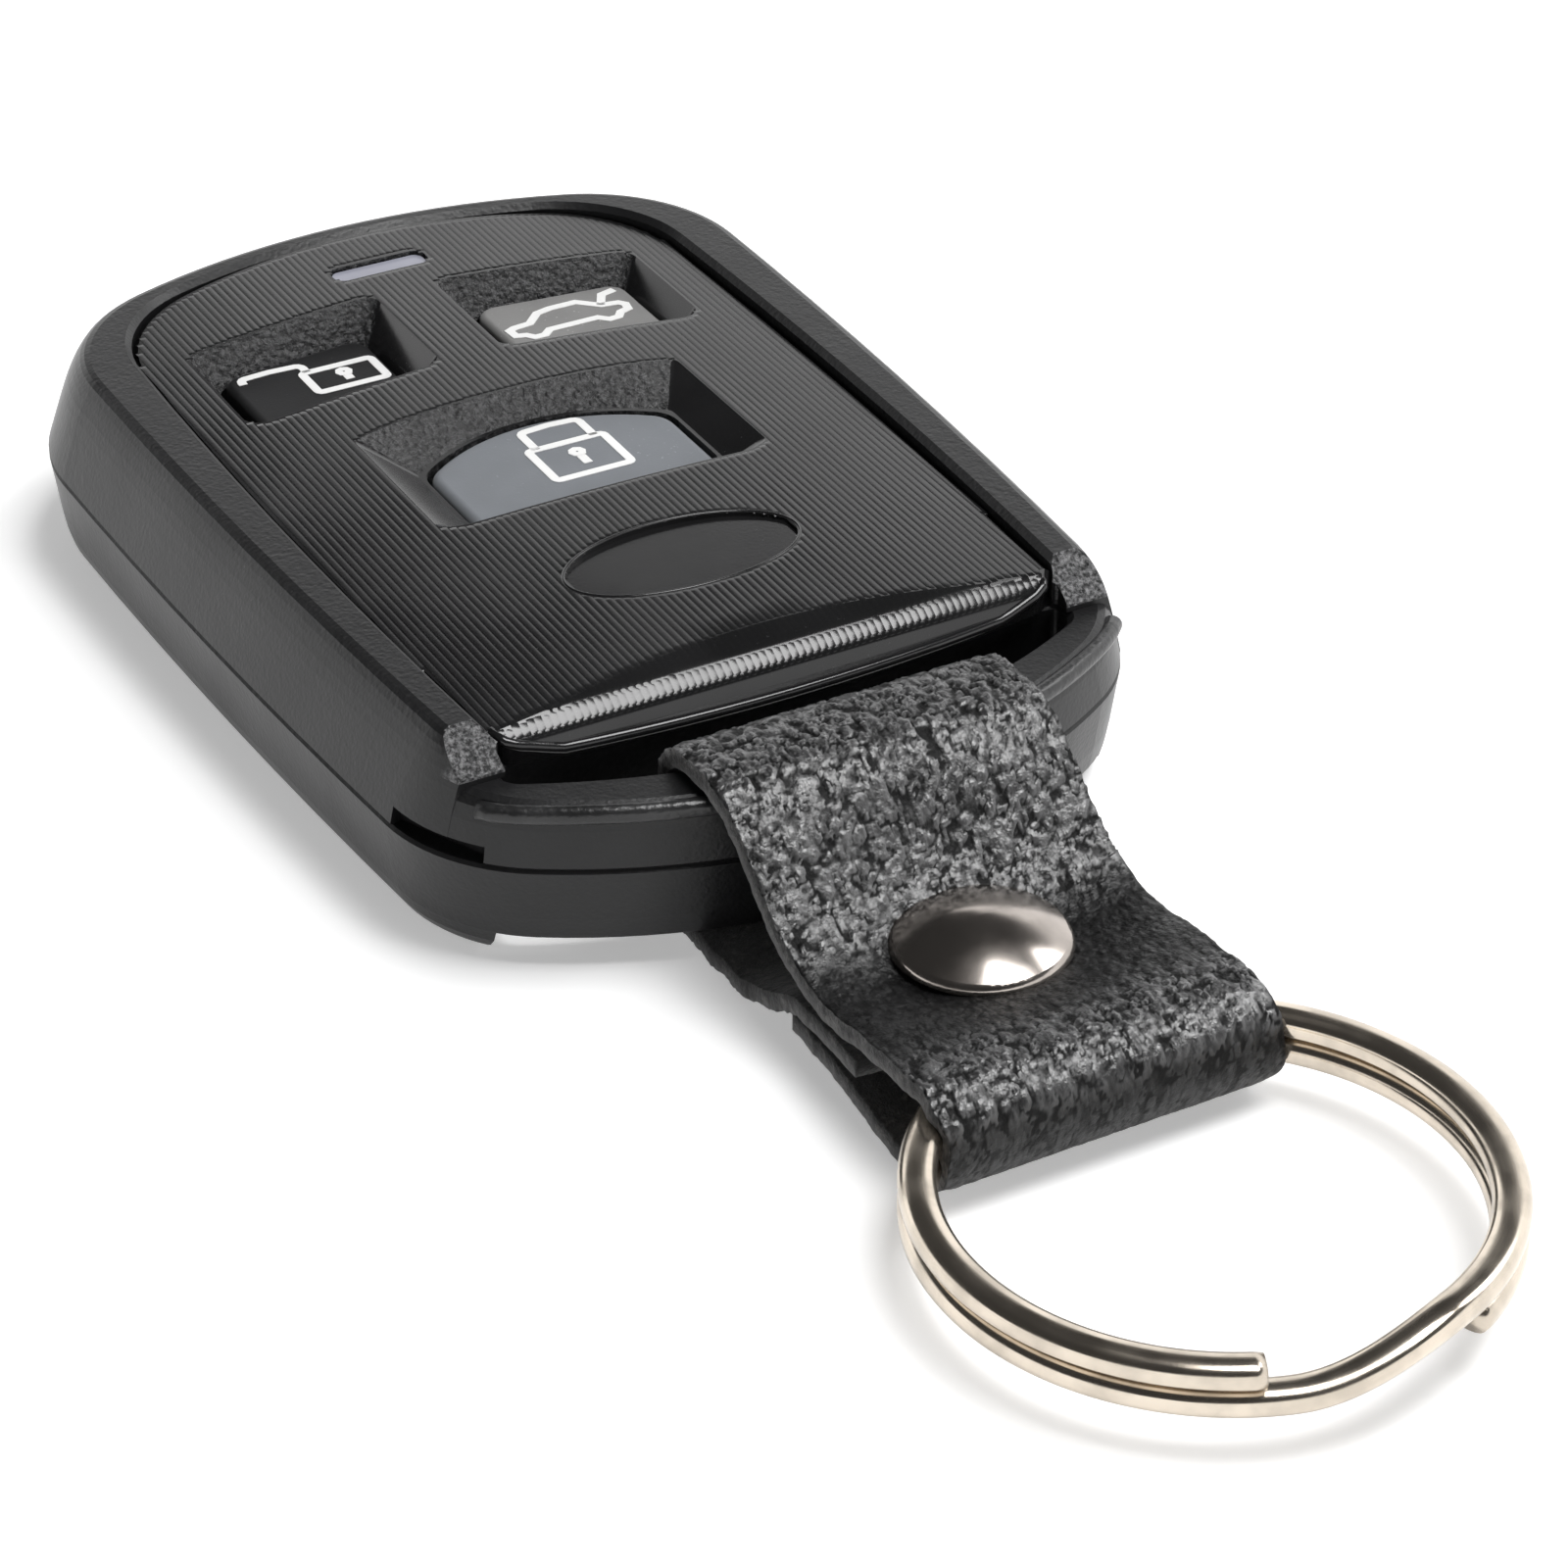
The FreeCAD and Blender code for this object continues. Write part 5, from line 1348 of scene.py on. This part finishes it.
@dataclass
class LeatherStrap:
    """One strip of leather: round the ring, over the rivet, round the strap bar and back under the rivet."""

    width: float = 16.2
    centre: float = 0.55
    thickness: float = 1.0
    step: float = 0.13
    rivet: Flat = (0.55, -37.0)
    press_inner: float = 3.4
    press_outer: float = 8.2
    press_share: float = 0.11
    wrinkle: Flat = (0.56, 0.4)
    wrinkle_height: float = 0.17
    warp: float = 0.2
    sway_scale: float = 0.8
    twist_scale: float = 2.1
    crease: float = 0.3
    pebble_share: float = 0.7
    mean: float = 0.6
    depth_scale: float = 1.3
    depth_limit: float = 0.3
    swell_scale: Flat = (0.9, 1.8)
    swell: float = 0.3
    calm_from: float = -34.6
    calm_to: float = -36.4
    fold_from: float = -42.4
    fold_to: float = -45.2
    fold_foot: float = 3.4
    fold_rise: float = 1.0
    calm: float = 0.22
    fray: float = 0.12
    fray_width: float = 0.6
    fray_scales: Flat = (0.8, 2.9)
    fray_fine: float = 0.35
    thin_edge: float = 0.84
    thin_width: float = 0.9
    route_parts: int = 40
    noise_seed: int = 7
    flex_start: Place = (0.55, -30.4, 2.5)
    flex_end: Place = (0.55, -34.4, 2.5)
    route: tuple[Flat, ...] = (
        (-35.2, 1.75), (-37.0, 1.76), (-39.0, 1.6), (-41.0, 1.3), (-43.6, 0.88), (-45.8, 0.84),
        (-47.15, 1.5), (-47.65, 2.75), (-47.25, 4.1), (-45.9, 4.75), (-44.0, 4.7), (-41.3, 4.45),
        (-38.8, 4.05), (-37.0, 4.03), (-35.2, 4.55), (-33.7, 5.25), (-32.0, 6.6), (-30.3, 8.1),
        (-28.6, 9.1), (-26.6, 9.28), (-24.8, 9.1), (-23.75, 8.2), (-23.55, 6.6), (-23.55, 3.2),
        (-23.8, 1.5), (-24.9, 0.8), (-26.8, 0.72), (-29.2, 0.75), (-31.0, 0.88), (-33.4, 1.75),
        (-35.2, 2.65), (-37.0, 2.85), (-40.6, 2.8),
    )

    def dress(self) -> None:
        """Make the strap, which stands for both of its solids."""
        noise.seed_set(self.noise_seed)
        rows = self.rows()
        columns = round(self.width / self.step)
        points: list[Vector] = []
        for side in Side:
            for along, (spot, out) in enumerate(rows):
                points += [self.vertex(side, along * self.step, spot, out, column, columns)
                           for column in range(columns + 1)]
        faces, finishes = self.weave_faces(len(rows), columns + 1)
        leather = [STRAP_GRAIN.material(), STRAP_RAW.material()]
        strap = mesh_piece("leather_strap", points, faces, leather, finishes)
        self.lay_out(strap, rows, columns + 1)
        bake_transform(strap)
        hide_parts("strap_loop", "strap_end")

    @staticmethod
    def metres(spot: Place) -> tuple[float, ...]:
        """Return a place in metres."""
        return tuple(c * MM for c in spot)

    def rows(self) -> list[tuple[Vector, Vector]]:
        """Walk the route in even steps.

        Returns:
            The strip's middle and its outward direction at each step, as (y, z) vectors.
        """
        fine: list[Vector] = []
        spots = [Vector(p) for p in self.route]
        ends = [spots[0] * 2.0 - spots[1]] + spots + [spots[-1] * 2.0 - spots[-2]]
        for i in range(len(spots) - 1):
            one, two, three, four = ends[i:i + 4]
            square = 2.0 * one - 5.0 * two + 4.0 * three - four
            cube = 3.0 * two - one - 3.0 * three + four
            for part in range(self.route_parts):
                t = part / self.route_parts
                fine.append(0.5 * (2.0 * two + (three - one) * t + square * t * t + cube * t ** 3))
        fine.append(spots[-1])
        rows = []
        due = 0.0
        walked = 0.0
        for here, there in zip(fine, fine[1:]):
            leg = (there - here).length
            while due <= walked + leg:
                way = (there - here) / leg
                rows.append((here + way * (due - walked), Vector((-way.y, way.x))))
                due += self.step
            walked += leg
        return rows

    def vertex(
        self, side: Side, along: float, spot: Vector, out: Vector, column: int, columns: int,
    ) -> Vector:
        """Return one point of the strip's surface.

        Args:
            side: grain or suede side.
            along: distance along the strip.
            spot: the strip's middle there.
            out: the direction of the grain side there.
            column: number of the point across the strip.
            columns: number of spaces across the strip.

        Returns:
            The point in millimetres.
        """
        across = self.width * (column / columns - 0.5)
        margin = min(column, columns - column) * self.step
        edge = math.copysign(NoisePlane.FRAY.value, across)
        coarse, fine = (along * scale for scale in self.fray_scales)
        ragged = noise.noise(Vector((coarse, edge, 0.0)))
        ragged += self.fray_fine * noise.noise(Vector((fine, edge, NoisePlane.FINE_FRAY.value)))
        across += ragged * self.fray * (1.0 - smoothstep(0.0, self.fray_width, margin))
        full = smoothstep(0.0, self.thin_width, margin)
        lift = self.thickness / 2.0 * (self.thin_edge + (1.0 - self.thin_edge) * full)
        if side is Side.GRAIN:
            lift += self.wrinkle_height * (self.wrinkles(along, across) - 0.5) * self.rough_share(spot)
        else:
            lift = -lift
        point = Vector((self.centre + across, spot.x + out.x * lift, spot.y + out.y * lift))
        return self.pressed(point)

    def wrinkles(self, along: float, across: float) -> float:
        """Give the leather's grain at a place of the flat strip.

        Args:
            along: distance along the strip.
            across: distance from its middle line.

        Returns:
            About 0 in its creases, 1 on its peaks.
        """
        flat = Vector((along, across, 0.0))
        sway = noise.noise_vector(flat * self.sway_scale + NoisePlane.SWAY.vector()) * self.warp * 2.0
        twist = noise.noise_vector(flat * self.twist_scale + NoisePlane.TWIST.vector()) * self.warp
        long, wide = self.wrinkle
        spot = Vector(((along + sway.x + twist.x) / long, (across + sway.y + twist.y) / wide, 0.0))
        nearest, second = noise.voronoi(spot)[0][:2]
        share = self.pebble_share
        pebble = share * smoothstep(0.0, self.crease, second - nearest) + (1.0 - share) * (1.0 - nearest)
        shift = noise.noise(flat * self.depth_scale + NoisePlane.DEPTH.vector())
        deep = 0.5 + 0.5 * smoothstep(-self.depth_limit, self.depth_limit, shift)
        wide_along, wide_across = self.swell_scale
        wave = noise.noise(Vector((along * wide_along, across * wide_across, NoisePlane.SWELL.value)))
        return self.mean + (pebble - share) * deep + self.swell * wave

    def rough_share(self, spot: Vector) -> float:
        """Tell how strongly the grain stands: pressed flat round the rivet, raised again on the fold.

        Args:
            spot: a place of the strip, as (y, z).

        Returns:
            A share from 0 to 1.
        """
        pressed = smoothstep(self.calm_from, self.calm_to, spot.x)
        risen = smoothstep(self.fold_from, self.fold_to, spot.x)
        risen *= smoothstep(self.fold_foot, self.fold_foot + self.fold_rise, spot.y)
        return 1.0 - (1.0 - self.calm) * pressed * (1.0 - risen)

    def pressed(self, point: Vector) -> Vector:
        """Lower a point where the rivet presses the layers together round itself.

        Args:
            point: the point, which is changed.

        Returns:
            The same point.
        """
        away = (Vector((point.x, point.y)) - Vector(self.rivet)).length
        press = 1.0 - smoothstep(self.press_inner, self.press_outer, away)
        point.z *= 1.0 - self.press_share * press
        return point

    def weave_faces(self, rows: int, width: int) -> tuple[list[Face], list[int]]:
        """Join the two sides, the long edges and the ends.

        Args:
            rows: points along the strip.
            width: points across the strip.

        Returns:
            The faces, and the finish number of each.
        """
        back = rows * width
        faces: list[Face] = []
        finishes: list[int] = []
        for row in range(rows - 1):
            for column in range(width - 1):
                a = row * width + column
                b, c, d = a + 1, a + width + 1, a + width
                faces += [(a, b, c, d), (back + d, back + c, back + b, back + a)]
                finishes += [Side.GRAIN.value, Side.SUEDE.value]
            left, right = row * width, row * width + width - 1
            faces += [(left, left + width, back + left + width, back + left),
                      (right + width, right, back + right, back + right + width)]
            finishes += [Side.SUEDE.value] * 2
        last = (rows - 1) * width
        for column in range(width - 1):
            faces += [(column + 1, column, back + column, back + column + 1),
                      (last + column, last + column + 1, back + last + column + 1, back + last + column)]
            finishes += [Side.SUEDE.value] * 2
        return faces, finishes

    def lay_out(self, strap: Piece, rows: list[tuple[Vector, Vector]], width: int) -> None:
        """Give the strip its flat coordinates, and its grain with the grain's strength, to bend with it.

        Args:
            strap: the strap's object.
            rows: the strip's middle and outward direction at each step.
            width: points across the strip.
        """
        layer = strap.data.uv_layers.new(name="flat")
        per_side = len(rows) * width
        for loop in strap.data.loops:
            place = loop.vertex_index % per_side
            layer.data[loop.index].uv = (place // width * self.step, place % width * self.step)
        shares = [self.rough_share(spot) for spot, _ in rows for _ in range(width)]
        peaks = [self.wrinkles(row * self.step, self.width * (column / (width - 1) - 0.5))
                 for row in range(len(rows)) for column in range(width)]
        for name, values in (("grain", shares), ("peak", peaks)):
            strap.data.attributes.new(name, "FLOAT", "POINT").data.foreach_set("value", values * 2)


@dataclass
class SplitRing:
    """A ring of one flattened wire in two coils that lie on each other."""

    radius: float = 11.7
    radial: float = 1.6
    axial: float = 1.25
    pitch: float = 1.27
    middle: Place = (0.55, -54.85, 2.91)
    tilt: float = -1.0
    pivot_y: float = -44.76
    jog_start: float = 252.0
    jog_turn: float = 36.0
    end_gap: float = 6.0
    step: float = 2.0
    corners: int = 20
    squareness: float = 2.5
    chamfer: float = 0.94
    girth: float = 1.6

    def dress(self) -> None:
        """Make the ring, which stands for its solid."""
        start = self.jog_start + self.jog_turn + self.end_gap - 360.0
        end = self.jog_start + 360.0 - self.end_gap
        count = round((end - start) / self.step)
        section = self.section()
        points: list[Vector] = []
        for i in range(count + 1):
            turn = start + (end - start) * i / count
            points += self.slice_at(turn, section, i in (0, count))
        faces = tube_faces(count + 1, self.corners)
        ring = mesh_piece("split_ring_wire", points, faces, [RING_METAL.material()])
        self.lay_out(ring)
        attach(ring, Body.RING.value)
        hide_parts("split_ring")

    def section(self) -> list[Flat]:
        """Draw the wire's outline, a flattened round.

        Returns:
            Its points, as (outward, up) pairs.
        """
        outline = []
        power = 2.0 / self.squareness
        for i in range(self.corners):
            turn = 2.0 * math.pi * i / self.corners
            out, up = math.cos(turn), math.sin(turn)
            outline.append((
                math.copysign(abs(out) ** power, out) * self.radial / 2.0,
                math.copysign(abs(up) ** power, up) * self.axial / 2.0,
            ))
        return outline

    def level(self, turn: float) -> float:
        """Return the wire's height over the ring's middle at an angle in degrees."""
        climb = smoothstep(self.jog_start, self.jog_start + self.jog_turn, turn)
        return self.pitch * (climb - 0.5)

    def slice_at(self, turn: float, section: list[Flat], cut: bool) -> list[Vector]:
        """Return one section of the wire.

        Args:
            turn: its angle in degrees.
            section: the wire's outline.
            cut: whether the wire is cut off here, which leaves a small chamfer.

        Returns:
            The section's points in millimetres.
        """
        angle = math.radians(turn)
        share = self.chamfer if cut else 1.0
        made = []
        for out, up in section:
            reach = self.radius + out * share
            y = self.middle[1] + reach * math.sin(angle)
            z = self.middle[2] + self.level(turn) + up * share
            spot = Vector((self.middle[0] + reach * math.cos(angle), y - self.pivot_y, z - self.middle[2]))
            spot = Matrix.Rotation(math.radians(self.tilt), 3, "X") @ spot
            made.append(spot + Vector((0.0, self.pivot_y, self.middle[2])))
        return made

    def lay_out(self, ring: Piece) -> None:
        """Give the wire flat coordinates in millimetres: along it, and round it.

        Args:
            ring: the ring's object.
        """
        layer = ring.data.uv_layers.new(name="flat")
        along = math.radians(self.step) * self.radius
        round_wire = (self.radial + self.axial) * self.girth / self.corners
        for loop in ring.data.loops:
            place = loop.vertex_index
            layer.data[loop.index].uv = (place // self.corners * along, place % self.corners * round_wire)


@dataclass
class DomeRivet:
    """The polished cap and the flanged base that hold the layers of the strap."""

    def dress(self) -> None:
        """Finish both pieces."""
        metal = RIVET_METAL.material()
        for node in ("rivet_cap", "rivet_base"):
            finish_node(node, metal)


@dataclass
class InnerParts:
    """What the case holds: keypad, board, switches, lamp, chips, cell and contacts."""

    finishes: dict[str, MouldedPlastic | PolishedMetal] = field(default_factory=lambda: {
        "keypad_mat": Silicone("keypad_rubber", (0.03, 0.03, 0.032), 0.6, 0.2, 0.005),
        "circuit_board": MouldedPlastic("board_mask", (0.03, 0.16, 0.07), 0.35, 0.5, 0.01, 0.3),
        "control_chip": MouldedPlastic("chip_resin", (0.02, 0.02, 0.02), 0.55, 0.1, 0.01),
        "chip_capacitors": MouldedPlastic("capacitor_ceramic", (0.35, 0.25, 0.15), 0.5, 0.15, 0.006),
        "indicator_lamp": ClearWindow("lamp_lens", (0.8, 0.8, 0.75), 0.2, 0.4, 0.002),
        "resonator_can": PolishedMetal("resonator_steel", (0.62, 0.61, 0.58), 0.25, 0.15),
        "coin_cell": PolishedMetal("cell_steel", (0.66, 0.66, 0.66), 0.2, 0.18),
        "positive_contact": PolishedMetal("contact_steel", (0.6, 0.58, 0.52), 0.28, 0.15),
        "negative_contact": PolishedMetal("contact_steel_low", (0.6, 0.58, 0.52), 0.28, 0.15),
    })
    keys: tuple[str, ...] = ("lock", "unlock", "trunk")

    def dress(self) -> None:
        """Finish every inner piece."""
        for node, finish in self.finishes.items():
            finish_node(node, finish.material())
        housing = PolishedMetal("switch_steel", (0.58, 0.58, 0.57), 0.3, 0.15).material()
        plunger = MouldedPlastic("plunger_resin", (0.04, 0.04, 0.04), 0.45, 0.15, 0.006).material()
        for key in self.keys:
            finish_node(f"{key}_switch", housing)
            finish_node(f"{key}_plunger", plunger)


def main() -> None:
    """Dress every sub-assembly in turn."""
    logging.basicConfig(level=logging.INFO, format="%(name)s: %(message)s")
    PhotoCamera().build()
    Studio().build()
    assemblies = (
        CaseShells(), FacePanel(), KeySymbols(), LeatherStrap(), DomeRivet(), SplitRing(), InnerParts(),
    )
    for assembly in assemblies:
        assembly.dress()
        LOG.info("dressed %s", type(assembly).__name__)


if __name__ == "__main__":
    main()
